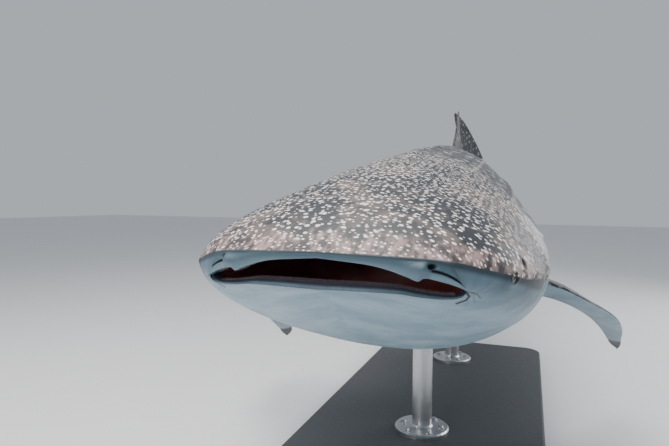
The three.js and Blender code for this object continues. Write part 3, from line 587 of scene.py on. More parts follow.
fin_objects = []
for name, shape in FINS.items():
    rest = fin_points(**shape)
    rows, columns = rest.shape[:2]
    points = posed(rest.reshape(-1, 3))
    fin_objects.append(mesh_object("fin_" + name, points, closed_grid(rows, columns)))
    flat = rest.reshape(-1, 3)
    upright = abs(shape["flat"][0]) > 0.9
    arc_here = flat[:, 2 if upright else 0] * TOTAL_LENGTH
    under, none = np.zeros(len(flat)), np.zeros(len(flat))
    if "pectoral" in name or "pelvic" in name:
        upper_half = np.tile(np.arange(columns) < columns // 2, rows)
        # The pale underside of a paired fin gives way towards the tip to the dark back, as painted
        # shade.
        shaded_tip = np.repeat(ramp(np.linspace(0, 1, rows), SHADED_TIP_FROM, SHADED_TIP_TO), columns)
        under = np.where(upper_half, 0.0, FIN_PALE * (1 - shaded_tip))
    if name in ("anal", "tail_lower"):
        under = none + REAR_FIN_PALE
    known_points.append(points)
    known_marks.append(np.stack([
        arc_here, flat[:, 1] * TOTAL_LENGTH, none, none, none, under, none + 1, none,
        none + FIN_BELOW, none], axis=-1))

for other in fin_objects:
    joiner = skin.modifiers.new("join", "BOOLEAN")
    joiner.operation = "UNION"
    joiner.object = other
    joiner.solver = "EXACT"
bpy.context.view_layer.update()
joined = bpy.data.meshes.new_from_object(
    skin.evaluated_get(bpy.context.evaluated_depsgraph_get()))
skin.modifiers.clear()
old_mesh = skin.data
skin.data = joined
bpy.data.meshes.remove(old_mesh)
for other in fin_objects:
    bpy.data.objects.remove(other)

# Each point of the joined hide takes the marks of the nearest known point.
points = np.vstack(known_points)
marks = np.vstack(known_marks)
tree = KDTree(len(points))
for i, p in enumerate(points):
    tree.insert(p, i)
tree.balance()
nearest = [tree.find(v.co)[1] for v in skin.data.vertices]
found = marks[nearest]
plan = skin.data.attributes.new("plan", "FLOAT_VECTOR", "POINT")
plan.data.foreach_set("vector", np.ascontiguousarray(found[:, :3]).ravel())
for column, name in enumerate(MARKS, 3):
    layer = skin.data.attributes.new(name, "FLOAT", "POINT")
    layer.data.foreach_set("value", found[:, column].copy())

# Where a fin meets the body the hide runs over it in a soft fillet.
ROOT_EASE_ROUNDS, ROOT_RINGS = 10, 2
bm = bmesh.new()
bm.from_mesh(skin.data)
fin_layer = bm.verts.layers.float["fin"]
root = {v for e in bm.edges for v in e.verts
        if abs(e.verts[0][fin_layer] - e.verts[1][fin_layer]) > 0.5}
for _ in range(ROOT_RINGS):
    root |= {e.other_vert(v) for v in root for e in v.link_edges}
bmesh.ops.triangulate(bm, faces=[f for f in bm.faces if len(f.verts) > 4])
for _ in range(ROOT_EASE_ROUNDS):
    bmesh.ops.smooth_vert(bm, verts=[v for v in root if v.is_valid], factor=0.5,
                          use_axis_x=True, use_axis_y=True, use_axis_z=True)

# Round each eye the hide is drawn up into a thick rim, with the eye sunk inside it, and a
# hand's breadth behind the eye the spiracle opens as a short slanting slot.
EYE_STATION, EYE_ANGLES = 0.034, {"left": 359, "right": 181}
RIM_RADIUS, RIM_WIDTH, RIM_HEIGHT, SOCKET_DEPTH = 0.0195, 0.0065, 0.0058, 0.012
BROW_SHARE, BROW_REACH = 0.25, 0.02
LID_FROM, LID_TO, LID_GAP, GAP_WIDTH = 0.0085, 0.0055, 0.0125, 0.0026
SPIRACLE_STATION, SPIRACLE_ANGLE, SPIRACLE_SLANT = 0.045, 13, (0, 0.55, 0.83)
SPIRACLE_LONG, SPIRACLE_WIDE, SPIRACLE_DEPTH = 0.013, 0.006, 0.016
SPIRACLE_RIM, RIM_AT, RIM_SOFT = 0.003, 1.7, 0.6
# How far round each place the mesh is made finer, and its longest edge there.
EYE_MESH, CORNER_MESH, SPIRACLE_MESH = (0.045, 0.0026), (0.07, 0.0034), (0.036, 0.003)
# Furrows fan out from each corner of the mouth; the deepest hooks down and back under it.
FURROWS = [
    ([(0.0603, -0.015), (0.0612, -0.0172), (0.0598, -0.0192), (0.0557, -0.0212)], 1.0),
    ([(0.0612, -0.015), (0.064, -0.0162), (0.0652, -0.0184)], 0.45),
    ([(0.0625, -0.0176), (0.0628, -0.0206)], 0.35),
    ([(0.06, -0.0205), (0.0588, -0.0228)], 0.3),
]
FURROW_WIDTH, FURROW_DEPTH, FAINT, CORNER_HEIGHT = 0.00042, 0.005, 0.02, -0.018
crease_layer = bm.verts.layers.float["crease"]
mouth_layer = bm.verts.layers.float["mouth"]


def furrow(x, z, line):
    """How near a point of the head, seen from the front, lies to a furrow: 1 on it."""
    nearest = 1.0
    for (x0, z0), (x1, z1) in zip(line, line[1:]):
        dx, dz = x1 - x0, z1 - z0
        t = min(max(((x - x0) * dx + (z - z0) * dz) / (dx * dx + dz * dz), 0), 1)
        nearest = min(nearest, math.hypot(x - x0 - t * dx, z - z0 - t * dz))
    return bell(nearest, 0, FURROW_WIDTH)


def mouth_corner(side):
    x = MOUTH_HALF_WIDTH if side == "left" else -MOUTH_HALF_WIDTH
    return Vector(posed([(x, float(rim_station(x)), CORNER_HEIGHT)])[0])


def skin_place(station, angle):
    """A point of the skin and the way out of it, in the row frame."""
    at = np.array([station])
    ring_x = np.cos(np.radians(angle)) * outline_width(at)
    here = skin_point(ring_x, at, np.array([angle]))
    side = math.copysign(1, ring_x[0])
    return Vector(posed(here)[0]), Vector((side, -0.18, 0.1 if angle < 180 else 0.0)).normalized()


def box_middle(name):
    low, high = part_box(name)
    return Vector([(a + b) / 2 for a, b in zip(low, high)])


def refined(middle, radius, longest):
    """Halves the edges round a place until none is too long, and gives the vertices there."""
    for _ in range(3):
        near = [e for e in bm.edges if e.calc_length() > longest
                and (e.verts[0].co - middle).length < radius
                and (e.verts[1].co - middle).length < radius]
        bmesh.ops.subdivide_edges(bm, edges=near, cuts=1, use_grid_fill=True)
    return [v for v in bm.verts if (v.co - middle).length < radius]


for side, eye_angle in EYE_ANGLES.items():
    middle = box_middle("eye_" + side)
    at, out = skin_place(EYE_STATION, eye_angle)
    for v in refined(at, *EYE_MESH):
        away = v.co - middle
        r = (away - out * away.dot(out)).length
        upper = min(max(away.z / BROW_REACH, -1), 1) * BROW_SHARE + 1 - BROW_SHARE
        inside = 1 - min(max((r - LID_FROM) / LID_TO, 0), 1)
        v.co += out * (RIM_HEIGHT * bell(r, RIM_RADIUS, RIM_WIDTH) * upper - SOCKET_DEPTH * inside)
        # The gap between the eye and its rim gets painted shade.
        v[crease_layer] = max(v[crease_layer], min(bell(r, LID_GAP, GAP_WIDTH) * 1.2, 1.0))
    for v in refined(mouth_corner(side), *CORNER_MESH):
        x, z = abs(v.co.x) / TOTAL_LENGTH, (v.co.z - SNOUT_HEIGHT) / TOTAL_LENGTH
        depth = max(furrow(x, z, line) * strength for line, strength in FURROWS)
        if v[mouth_layer] > FAINT or depth < FAINT:
            continue
        v.co += Vector((-0.5 * math.copysign(1, v.co.x), 0.8, 0)) * (FURROW_DEPTH * depth)
        # Each furrow gets painted shade.
        v[crease_layer] = max(v[crease_layer], depth)
    angle = SPIRACLE_ANGLE if side == "left" else 180 - SPIRACLE_ANGLE
    at, out = skin_place(SPIRACLE_STATION, angle)
    slant = Vector(SPIRACLE_SLANT)
    slant = (slant - out * slant.dot(out)).normalized()
    over = out.cross(slant)
    for v in refined(at, *SPIRACLE_MESH):
        away = v.co - at
        q = math.hypot(away.dot(slant) / SPIRACLE_LONG, away.dot(over) / SPIRACLE_WIDE)
        hole = 1 / (1 + q**4)
        v.co += out * (SPIRACLE_RIM * bell(q, RIM_AT, RIM_SOFT) - SPIRACLE_DEPTH * hole)
        # The slot of the spiracle gets painted shade.
        v[crease_layer] = max(v[crease_layer], min(1.6 * hole, 1.0))
bm.to_mesh(skin.data)
bm.free()
skin.data.polygons.foreach_set("use_smooth", [True] * len(skin.data.polygons))

# The colours of the hide. It is charcoal above with pale spots, and blue-grey below. Over this lie
# painted sunlight, in warm brown pools on the back, a pinkish band along the lip and paler crests,
# and painted shade under the rim, in slits and folds and at the fin tips. Rules on the marks paint
# it, so the pattern keeps to the animal, and each pair of tones is blended by a noise or a mark.
CHARCOAL = (0.012, 0.016, 0.023), (0.034, 0.039, 0.048)
SUNLIGHT_POOL_BROWN = (0.10, 0.082, 0.076), (0.185, 0.15, 0.136)
BROW_HIGHLIGHT = (0.045, 0.038, 0.041), (0.36, 0.255, 0.24)
SPOT_WHITE_AND_SUNLIT, REAR_SPOT = ((0.90, 0.87, 0.86), (1.0, 0.87, 0.82)), (0.36, 0.37, 0.38)
BELLY, BELLY_SPECK = ((0.20, 0.295, 0.365), (0.31, 0.41, 0.48)), (0.20, 0.27, 0.32)
CHEEK_SHADE = (0.045, 0.085, 0.115), (0.085, 0.145, 0.185)
UPPER_LIP_SHADE = (0.05, 0.095, 0.125), (0.13, 0.21, 0.26)
UNDER_RIM_SHADE, LIP_SHADOW = (0.014, 0.028, 0.036), (0.012, 0.024, 0.031)
CREST_HIGHLIGHT, CREASE_SHADE, FLAP_EDGE_HIGHLIGHT = (0.42,) * 3, (0.018, 0.022, 0.026), (0.55, 0.58, 0.60)
GUM = (0.04, 0.043, 0.065), (0.07, 0.075, 0.105)
THROAT = (0.24, 0.06, 0.06), (0.36, 0.115, 0.105)


class Nodes:
    """Adds shader nodes and links them, so that a material reads as a list of steps."""

    def __init__(self, name):
        self.material = bpy.data.materials.new(name)
        self.material.use_nodes = True
        self.tree = self.material.node_tree
        self.shader = self.tree.nodes["Principled BSDF"]

    def add(self, kind, **settings):
        node = self.tree.nodes.new(kind)
        for key, value in settings.items():
            setattr(node, key, value)
        return node

    def feed(self, socket, value):
        if isinstance(value, bpy.types.NodeSocket):
            self.tree.links.new(value, socket)
        elif isinstance(value, (tuple, list)) and len(value) == 3 and socket.type == "RGBA":
            socket.default_value = (*value, 1)
        else:
            socket.default_value = value

    def attribute(self, name, output="Fac"):
        return self.add("ShaderNodeAttribute", attribute_name=name).outputs[output]

    def place(self):
        return self.add("ShaderNodeTexCoord").outputs["Object"]

    def math(self, operation, a, b=0.0):
        node = self.add("ShaderNodeMath", operation=operation)
        self.feed(node.inputs[0], a)
        self.feed(node.inputs[1], b)
        return node.outputs[0]

    def times(self, a, b):
        return self.math("MULTIPLY", a, b)

    def plus(self, a, b):
        return self.math("ADD", a, b)

    def most(self, a, b):
        return self.math("MAXIMUM", a, b)

    def scaled(self, vector, factors, shift=(0, 0, 0)):
        node = self.add("ShaderNodeMapping")
        self.feed(node.inputs["Vector"], vector)
        node.inputs["Scale"].default_value = factors
        node.inputs["Location"].default_value = shift
        return node.outputs[0]

    def noise(self, vector, scale, detail=4.0, roughness=0.5):
        node = self.add("ShaderNodeTexNoise")
        self.feed(node.inputs["Vector"], vector)
        node.inputs["Scale"].default_value = scale
        node.inputs["Detail"].default_value = detail
        node.inputs["Roughness"].default_value = roughness
        return node.outputs["Fac"]

    def span(self, value, low, high, to_low=0.0, to_high=1.0):
        node = self.add("ShaderNodeMapRange", interpolation_type="SMOOTHSTEP")
        for i, v in enumerate((value, low, high, to_low, to_high)):
            self.feed(node.inputs[i], v)
        return node.outputs[0]

    def mix(self, factor, a, b):
        node = self.add("ShaderNodeMix", data_type="RGBA")
        self.feed(node.inputs[0], factor)
        self.feed(node.inputs[6], a)
        self.feed(node.inputs[7], b)
        return node.outputs[2]

    def wash(self, under, where, strength, tone):
        """Lays a tone over the colours under it, where the mark is, at most this strongly."""
        return self.mix(self.times(where, strength), under, tone)

    def finish(self, colour, roughness):
        self.feed(self.shader.inputs["Base Color"], colour)
        self.feed(self.shader.inputs["Roughness"], roughness)

    def spots(self, vector, scale, radius, keep, randomness=0.8):
        """Round spots, one in a cell, of which a share is kept."""
        node = self.add("ShaderNodeTexVoronoi", voronoi_dimensions="2D", feature="F1")
        self.feed(node.inputs["Vector"], vector)
        node.inputs["Scale"].default_value = scale
        node.inputs["Randomness"].default_value = randomness
        split = self.add("ShaderNodeSeparateColor")
        self.feed(split.inputs[0], node.outputs["Color"])
        size = self.math("MULTIPLY_ADD", split.outputs[1], radius * 0.6)
        size.node.inputs[2].default_value = radius * 0.7
        inside = self.span(self.math("DIVIDE", node.outputs["Distance"], size), 1.15, 0.75)
        return self.times(inside, self.math("LESS_THAN", split.outputs[0], keep))


hide = Nodes("whale_shark_hide")
plan = hide.attribute("plan", "Vector")
split = hide.add("ShaderNodeSeparateXYZ")
hide.feed(split.inputs[0], plan)
station = split.outputs[1]
broad = hide.noise(hide.scaled(plan, (1.0, 1.3, 1.0)), 3.4, 5.0, 0.6)
blots = hide.noise(hide.scaled(plan, (1.0, 1.7, 1.0), (3.1, 1.7, 0)), 9.0, 4.0, 0.6)
fingers = hide.noise(hide.scaled(plan, (1.0, 0.45, 1.0), (1.3, 0.4, 0)), 40.0, 4.0, 0.6)
fine = hide.noise(plan, 95.0, 4.0, 0.6)
mottle = hide.noise(plan, 7.0, 5.0, 0.62)
# The back is charcoal, with warm grey-brown clouds of painted sunlight, fainter behind and on the
# fins.
limb = hide.attribute("fin")
behind = hide.span(station, 0.9, 1.7)
not_head = hide.most(behind, limb)
sunlight_pool = hide.span(hide.plus(hide.times(broad, 0.55), hide.times(blots, 0.5)), 0.485, 0.62)
sunlight_pool = hide.times(sunlight_pool, hide.span(not_head, 0.0, 1.0, 1.0, 0.4))
ground = hide.mix(sunlight_pool, hide.mix(fine, *CHARCOAL), hide.mix(fine, *SUNLIGHT_POOL_BROWN))
# A band along the rim of the lip, and a strip on the sides of the head just above the pale
# underside, get a painted pinkish highlight of sunlight, and run back in fingers.
reach = hide.plus(hide.times(fingers, 0.16), hide.times(blots, 0.16))
brow = hide.span(hide.math("SUBTRACT", station, reach), -0.05, -0.12)
below = hide.attribute("below")
flank = hide.span(hide.plus(below, hide.times(reach, 0.25)), -0.035, 0.01)
flank = hide.times(flank, hide.span(station, 0.7, 0.35))
brow = hide.times(hide.most(brow, flank), hide.span(limb, 1.0, 0.0))
brow_light = hide.plus(hide.times(fingers, 0.65), hide.times(blots, 0.35))
ground = hide.wash(ground, brow, 0.9, hide.mix(hide.span(brow_light, 0.42, 0.6), *BROW_HIGHLIGHT))
# Spots: small and dense on the head, where they lie like short dashes, and large behind, where
# faint bars run down between them.
small = hide.spots(hide.scaled(plan, (1.0, 1.7, 1.0)), 28.0, 0.19, 0.85, 0.92)
small = hide.times(small, hide.span(brow, 0.3, 1.0, 1.0, 0.4))
tiny = hide.spots(hide.scaled(plan, (1.0, 1.7, 1.0), (0.37, 0.21, 0)), 46.0, 0.2, 0.62, 0.95)
tiny = hide.times(tiny, hide.span(brow, 0.0, 1.0, 0.75, 1.0))
large = hide.spots(hide.scaled(plan, (1.0, 0.85, 1.0)), 11.5, 0.2, 0.85, 0.78)
dots = hide.times(hide.most(small, tiny), hide.span(behind, 1.0, 0.25))
dots = hide.most(dots, hide.times(hide.most(large, hide.times(small, 0.45)), behind))
wave = hide.math("FRACT", hide.plus(hide.times(station, 4.6), hide.times(broad, 0.5)))
bar = hide.span(hide.math("ABSOLUTE", hide.math("SUBTRACT", wave, 0.5)), 0.07, 0.02)
dots = hide.most(dots, hide.times(hide.times(bar, behind), 0.2))
dots = hide.times(dots, hide.span(fine, 0.25, 0.5, 0.82, 1.0))
dots = hide.times(dots, hide.span(limb, 0.0, 1.0, 1.0, 0.45))
# Where the painted sunlight lies the spots take a painted pinkish white, and behind they are grey.
spot_tone = hide.mix(not_head, hide.mix(hide.most(sunlight_pool, brow), *SPOT_WHITE_AND_SUNLIT), REAR_SPOT)
back = hide.wash(ground, dots, 0.95, spot_tone)
# The belly is mottled. Below the edge of the back the face is painted in the shade of the rim,
# darkest right under it, and the upper lip is painted in shade too, darkest at its top.
under = hide.mix(hide.span(mottle, 0.35, 0.68), *BELLY)
under = hide.wash(under, hide.spots(plan, 60.0, 0.1, 0.12, 1.0), 0.5, BELLY_SPECK)
face = hide.span(station, 1.5, 0.55)
cheek_shade = hide.times(hide.span(below, 0.13, 0.03), face)
under = hide.wash(under, cheek_shade, 0.85, hide.mix(hide.span(mottle, 0.35, 0.68), *CHEEK_SHADE))
under = hide.wash(under, hide.times(hide.span(below, 0.03, 0.01), face), 0.9, UNDER_RIM_SHADE)
lip = hide.attribute("lip")
lip_shade_tone = hide.mix(hide.span(lip, 0.45, 1.0), *UPPER_LIP_SHADE)
under = hide.wash(under, hide.span(lip, 0.02, 0.14), 0.88, lip_shade_tone)
shadow = hide.times(hide.span(lip, 0.4, 0.12), hide.span(lip, 0.01, 0.1))
shadow = hide.times(shadow, hide.span(below, 0.045, 0.02))
under = hide.wash(under, shadow, 0.7, LIP_SHADOW)
# Back and belly meet in a ragged edge. The crests of the ridges and the edges of the gill flaps
# get a painted highlight, slits and folds get painted shade, and the mouth is grey at the gums and
# red inside.
ragged = hide.times(hide.math("SUBTRACT", fine, 0.5), 0.4)
edge = hide.span(hide.plus(hide.attribute("pale"), ragged), 0.3, 0.68)
colour = hide.mix(edge, back, under)
colour = hide.wash(colour, hide.span(hide.attribute("crest"), 0.3, 1.0), 0.38, CREST_HIGHLIGHT)
creased = hide.attribute("crease")
colour = hide.wash(colour, hide.span(creased, 0.05, 0.7), 0.93, CREASE_SHADE)
colour = hide.wash(colour, hide.span(creased, -0.05, -0.7), 0.55, FLAP_EDGE_HIGHLIGHT)
inside = hide.attribute("mouth")
flesh = hide.mix(hide.span(inside, 0.62, 0.95), hide.mix(mottle, *GUM), hide.mix(mottle, *THROAT))
colour = hide.mix(hide.span(inside, 0.08, 0.3), colour, flesh)
hide.finish(colour, hide.span(fine, 0.2, 0.8, 0.36, 0.56))
hide.shader.inputs["Specular IOR Level"].default_value = 0.45
grain = hide.add("ShaderNodeBump")
grain.inputs["Strength"].default_value = 0.4
grain.inputs["Distance"].default_value = 0.004
hide.feed(grain.inputs["Height"], hide.plus(hide.times(fine, 0.6), hide.times(blots, 0.9)))
hide.feed(hide.shader.inputs["Normal"], grain.outputs[0])
skin.data.materials.clear()
skin.data.materials.append(hide.material)
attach(skin, "root")
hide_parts("head", "lower_jaw", "gill_region", "trunk", "tail_stalk", "first_dorsal_fin",
            "second_dorsal_fin", "anal_fin", "tail_fin_upper_lobe", "tail_fin_lower_lobe",
            "pectoral_fin_left", "pectoral_fin_right", "pelvic_fin_left", "pelvic_fin_right")

# The tooth bands. Rows of minute, backward-leaning teeth, thousands in the real animal, stand on
# the gum just inside each lip. Curves laid along the gum carry them, as cones of slightly
# different sizes.
TOOTH_LENGTH, TOOTH_RADIUS, TOOTH_SIDES, TEETH_IN_ROW = 0.0045, 0.0018, 6, 150
LEAST_TOOTH, LARGEST_TOOTH, BAND_SHARE, TOOTH_SEED = 0.7, 1.25, 0.93, 4
# Rows are counted in steps from the edge of the mouth inwards.
TOOTH_ROWS = {"upper": (0.4, 0.9, 1.4, 1.9, 2.4), "lower": (1.0, 1.5, 2.0, 2.5, 3.0)}
TOOTH_LEAN = {"upper": (0, 0.55, -0.83), "lower": (0, 0.55, 0.83)}
ENAMEL = (0.16, 0.135, 0.14), (0.30, 0.26, 0.26)


class Tree:
    """A geometry tree with named inputs, which reads as a list of steps."""

    def __init__(self, name, inputs):
        self.tree = bpy.data.node_groups.new(name, "GeometryNodeTree")
        for label, kind in [("Geometry", "Geometry"), *inputs, ("Material", "Material")]:
            self.tree.interface.new_socket(
                label, in_out="INPUT", socket_type="NodeSocket" + kind)
        self.tree.interface.new_socket(
            "Geometry", in_out="OUTPUT", socket_type="NodeSocketGeometry")
        self.given = self.tree.nodes.new("NodeGroupInput").outputs

    def step(self, kind, feeds, output=0, **settings):
        """Adds a node, sets or links its inputs, and gives one of its outputs."""
        node = self.tree.nodes.new(kind)
        for key, value in settings.items():
            setattr(node, key, value)
        for socket, values in feeds.items():
            for value in values if isinstance(values, list) else [values]:
                if isinstance(value, bpy.types.NodeSocket):
                    self.tree.links.new(value, node.inputs[socket])
                else:
                    node.inputs[socket].default_value = value
        return node.outputs[output]

    def random(self, low, high):
        feeds = {2: low, 3: high, "Seed": self.given["Seed"]}
        return self.step("FunctionNodeRandomValue", feeds, 1)

    def end(self, geometry):
        """Makes the copies real, gives them the material and ends the tree."""
        real = self.step("GeometryNodeRealizeInstances", {0: geometry})
        coated = self.step("GeometryNodeSetMaterial", {
            "Geometry": real, "Material": self.given["Material"]})
        self.tree.links.new(coated, self.tree.nodes.new("NodeGroupOutput").inputs[0])

    def settled(self, obj, values):
        """Runs the tree on an object with these values and keeps the result as a plain mesh."""
        modifier = obj.modifiers.new(self.tree.name, "NODES")
        modifier.node_group = self.tree
        for item in self.tree.interface.items_tree:
            if item.in_out == "INPUT" and item.name in values:
                modifier[item.identifier] = values[item.name]
        bpy.context.view_layer.update()
        result = bpy.data.meshes.new_from_object(
            obj.evaluated_get(bpy.context.evaluated_depsgraph_get()))
        name, old = obj.name, obj.data
        obj.modifiers.clear()
        bpy.data.objects.remove(obj)
        kept_in = bpy.data.curves if isinstance(old, bpy.types.Curve) else bpy.data.meshes
        kept_in.remove(old)
        return in_scene(name, result)


teeth = Tree("tooth_rows", [
    ("Teeth In Row", "Int"), ("Length", "Float"), ("Radius", "Float"), ("Lean", "Vector"),
    ("Seed", "Int")])
given = teeth.given
spread = teeth.step("GeometryNodeResampleCurve", {
    "Curve": given["Geometry"], "Count": given["Teeth In Row"]})
cone = teeth.step("GeometryNodeMeshCone", {
    "Vertices": TOOTH_SIDES, "Radius Bottom": given["Radius"], "Depth": given["Length"]})
lean = teeth.step("FunctionNodeAlignEulerToVector", {"Vector": given["Lean"]}, axis="Z")
teeth.end(teeth.step("GeometryNodeInstanceOnPoints", {
    "Points": spread, "Instance": cone, "Rotation": lean,
    "Scale": teeth.random(LEAST_TOOTH, LARGEST_TOOTH)}))

enamel = Nodes("tooth_enamel")
worn = enamel.noise(enamel.place(), 240.0, 3.0)
enamel.finish(enamel.mix(worn, *ENAMEL), enamel.span(worn, 0.3, 0.7, 0.3, 0.45))
for jaw, rows in TOOTH_ROWS.items():
    side = is_back if jaw == "upper" else ~is_back
    columns = np.where(side & (np.abs(across) < BAND_SHARE))[0]
    curve = bpy.data.curves.new("tooth_band_" + jaw, "CURVE")
    curve.dimensions = "3D"
    for row in rows:
        i = lip_rings + int(row)
        ring = grid[i] * (1 - row % 1) + grid[i + 1] * (row % 1)
        path = posed(ring[columns])
        spline = curve.splines.new("POLY")
        spline.points.add(len(path) - 1)
        spline.points.foreach_set("co", np.hstack([path, np.ones((len(path), 1))]).ravel())
    band = teeth.settled(in_scene("tooth_band_" + jaw, curve), {
        "Teeth In Row": TEETH_IN_ROW, "Length": TOOTH_LENGTH, "Radius": TOOTH_RADIUS,
        "Lean": TOOTH_LEAN[jaw], "Seed": TOOTH_SEED, "Material": enamel.material,
    })
    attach(band, "root")

# The eyes. Small wet balls sunk low in the sides of the head, almost black, with a wide pupil in
# a thin grey-brown iris. The rims that hold them are part of the hide.
PUPIL, IRIS, PUPIL_SOFT, IRIS_SOFT = 0.9, 0.72, (-0.012, 0.006), (-0.05, 0.01)
EYE_SHARE, EYE_FORWARD, EYE_GLOSS = 0.76, 0.002, 0.07
PUPIL_BLACK, EYE_BLACK = (0.002, 0.002, 0.003), (0.012, 0.012, 0.013)
IRIS_BROWN = (0.05, 0.045, 0.04), (0.20, 0.19, 0.17)
for side in ("left", "right"):
    low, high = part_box("eye_" + side)
    radius = (high[0] - low[0]) / 2 * EYE_SHARE
    outward = skin_place(EYE_STATION, EYE_ANGLES[side])[1]
    middle = box_middle("eye_" + side) + outward * EYE_FORWARD
    bm = bmesh.new()
    bmesh.ops.create_uvsphere(bm, u_segments=48, v_segments=32, radius=radius)
    bmesh.ops.translate(bm, verts=bm.verts, vec=middle)
    mesh = bpy.data.meshes.new("eyeball_" + side)
    bm.to_mesh(mesh)
    bm.free()
    mesh.polygons.foreach_set("use_smooth", [True] * len(mesh.polygons))
    ball = in_scene("eyeball_" + side, mesh)
    eye = Nodes("eye_" + side)
    place = eye.place()
    away = eye.add("ShaderNodeVectorMath", operation="SUBTRACT")
    eye.feed(away.inputs[0], place)
    away.inputs[1].default_value = middle
    facing = eye.add("ShaderNodeVectorMath", operation="DOT_PRODUCT")
    eye.feed(facing.inputs[0], away.outputs[0])
    facing.inputs[1].default_value = outward / radius
    facing = facing.outputs["Value"]
    flecks = eye.noise(place, 260.0, 4.0, 0.65)
    low, high = (IRIS + soft for soft in IRIS_SOFT)
    look = eye.mix(eye.span(facing, low, high), EYE_BLACK, eye.mix(flecks, *IRIS_BROWN))
    low, high = (PUPIL + soft for soft in PUPIL_SOFT)
    look = eye.mix(eye.span(facing, low, high), look, PUPIL_BLACK)
    eye.finish(look, EYE_GLOSS)
    mesh.materials.append(eye.material)
    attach(ball, "root")
    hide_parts("eye_" + side)

# The stand. A board with eased edges, painted dark grey with a roller, carries two steel rods
# with round feet and pads. Their shapes are the solids themselves, and they get their finish
# here.
DARK_PAINT = (0.045, 0.05, 0.055), (0.06, 0.065, 0.07)
STEEL = (0.42, 0.43, 0.44), (0.6, 0.61, 0.62)
paint = Nodes("stand_paint")
orange_peel = paint.noise(paint.place(), 90.0, 3.0)
paint.finish(paint.mix(orange_peel, *DARK_PAINT), paint.span(orange_peel, 0.3, 0.7, 0.5, 0.62))
steel = Nodes("stand_steel")
brushed = steel.noise(steel.scaled(steel.place(), (1.0, 1.0, 60.0)), 9.0, 3.0)
steel.finish(steel.mix(brushed, *STEEL), steel.span(brushed, 0.3, 0.7, 0.28, 0.42))
steel.shader.inputs["Metallic"].default_value = 1.0
for name, finish in (("stand_base", paint), ("stand_rod_front", steel),
                     ("stand_rod_rear", steel)):
    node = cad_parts[name]
    node.data.materials.clear()
    node.data.materials.append(finish.material)

# The bolts. Each rod's round foot is held to the board by a ring of hexagonal steel bolts on
# washers, and each is turned as it was left when it was tightened.
BOLTS, BOLT_RING, BOLT_SEED, FOOT_TOP = 6, 0.105, 7, 0.0237
BOLT_HEAD, BOLT_HEIGHT, BOLT_SIDES = 0.0145, 0.010, 6
WASHER, WASHER_HEIGHT, WASHER_SIDES = 0.021, 0.003, 32
bolting = Tree("bolt_ring", [
    ("Bolts", "Int"), ("Ring", "Float"), ("Head", "Float"), ("Height", "Float"),
    ("Washer", "Float"), ("Washer Height", "Float"), ("Centre", "Vector"), ("Seed", "Int")])
given = bolting.given
stack = []
for sides, radius, height in ((BOLT_SIDES, "Head", "Height"),
                              (WASHER_SIDES, "Washer", "Washer Height")):
    drum = bolting.step("GeometryNodeMeshCylinder", {
        "Vertices": sides, "Radius": given[radius], "Depth": given[height]})
    lift = bolting.step("ShaderNodeMath", {0: given[height], 1: 0.5}, operation="MULTIPLY")
    if radius == "Head":
        lift = bolting.step("ShaderNodeMath", {0: lift, 1: given["Washer Height"]})
    up = bolting.step("ShaderNodeCombineXYZ", {"Z": lift})
    stack.append(bolting.step("GeometryNodeTransform", {"Geometry": drum, "Translation": up}))
both = bolting.step("GeometryNodeJoinGeometry", {0: stack})
ring = bolting.step("GeometryNodeMeshCircle", {
    "Vertices": given["Bolts"], "Radius": given["Ring"]})
twist = bolting.step("ShaderNodeCombineXYZ", {"Z": bolting.random(0.0, math.pi)})
placed = bolting.step("GeometryNodeInstanceOnPoints", {
    "Points": ring, "Instance": both, "Rotation": twist})
bolting.end(bolting.step("GeometryNodeTransform", {
    "Geometry": placed, "Translation": given["Centre"]}))
for rod in ("front", "rear"):
    low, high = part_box("stand_rod_" + rod)
    bolts = bolting.settled(mesh_object("foot_bolts_" + rod, [(0, 0, 0)], []), {
        "Bolts": BOLTS, "Ring": BOLT_RING, "Head": BOLT_HEAD, "Height": BOLT_HEIGHT,
        "Washer": WASHER, "Washer Height": WASHER_HEIGHT, "Seed": BOLT_SEED,
        "Centre": ((low[0] + high[0]) / 2, (low[1] + high[1]) / 2, low[2] + FOOT_TOP),
        "Material": steel.material,
    })
    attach(bolts, "root")

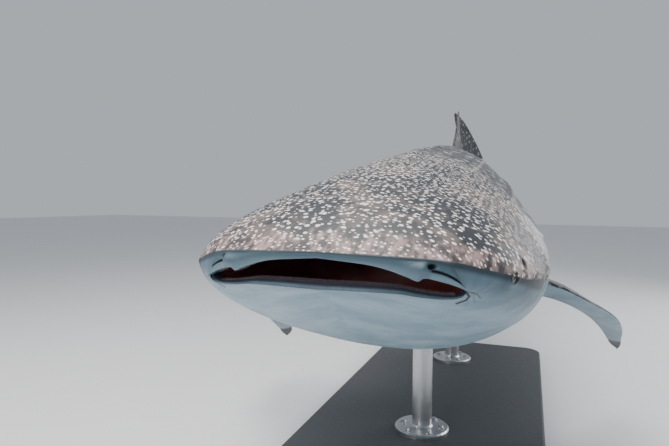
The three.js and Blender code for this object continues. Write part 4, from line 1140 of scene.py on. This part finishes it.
# The room. A pale floor, a plain grey-blue surround and large soft lights show the model evenly.
# None of it belongs to the part.
FLOOR_SIZE, FLOOR_PALE = 60, ((0.72, 0.73, 0.74), (0.76, 0.77, 0.78))
SURROUND, SURROUND_STRENGTH = (0.78, 0.83, 0.9, 1), 0.6
bpy.ops.mesh.primitive_plane_add(size=FLOOR_SIZE, location=(0, 0, 0))
floor = bpy.context.object
floor.name = "studio_floor"
matt = Nodes("studio_floor")
matt.finish(matt.mix(matt.noise(matt.place(), 3.0, 3.0), *FLOOR_PALE), 0.75)
floor.data.materials.append(matt.material)
world = bpy.data.worlds.new("studio")
bpy.context.scene.world = world
world.use_nodes = True
world.node_tree.nodes["Background"].inputs["Color"].default_value = SURROUND
world.node_tree.nodes["Background"].inputs["Strength"].default_value = SURROUND_STRENGTH


def soft_light(name, place, aim, size, power, colour=(1, 1, 1)):
    data = bpy.data.lights.new(name, "AREA")
    data.shape = "RECTANGLE"
    data.size, data.size_y = size
    data.energy = power
    data.color = colour
    lamp = in_scene(name, data)
    lamp.location = place
    lamp.rotation_euler = (Vector(aim) - Vector(place)).to_track_quat("-Z", "Y").to_euler()


soft_light("top_light", (-1.0, -2.2, 6.0), (0, -0.8, 1.2), (4, 6), 520, (1.0, 0.97, 0.93))
soft_light("front_light", (-2.5, -6.5, 2.6), (0, -1.5, 1.2), (3, 2), 120)
soft_light("rear_light", (4.5, 3.5, 3.2), (0, 0, 1.2), (3, 3), 160)

# The camera. It stands ahead of the mouth on the shark's left, a little above the eyes, with the
# place, the tilt and the lens that were fitted to the photo.
CAMERA_PLACE, CAMERA_TURN = (0.5421, -3.6795, 1.3412), (87.512, -0.543, 19.950)
SENSOR_WIDTH, LENS, FARTHEST = 36, 28.96, 100
camera = in_scene("camera", bpy.data.cameras.new("camera"))
camera.location = CAMERA_PLACE
camera.rotation_euler = Euler([math.radians(a) for a in CAMERA_TURN], "XYZ")
camera.data.sensor_width = SENSOR_WIDTH
camera.data.lens = LENS
camera.data.clip_end = FARTHEST
bpy.context.scene.camera = camera
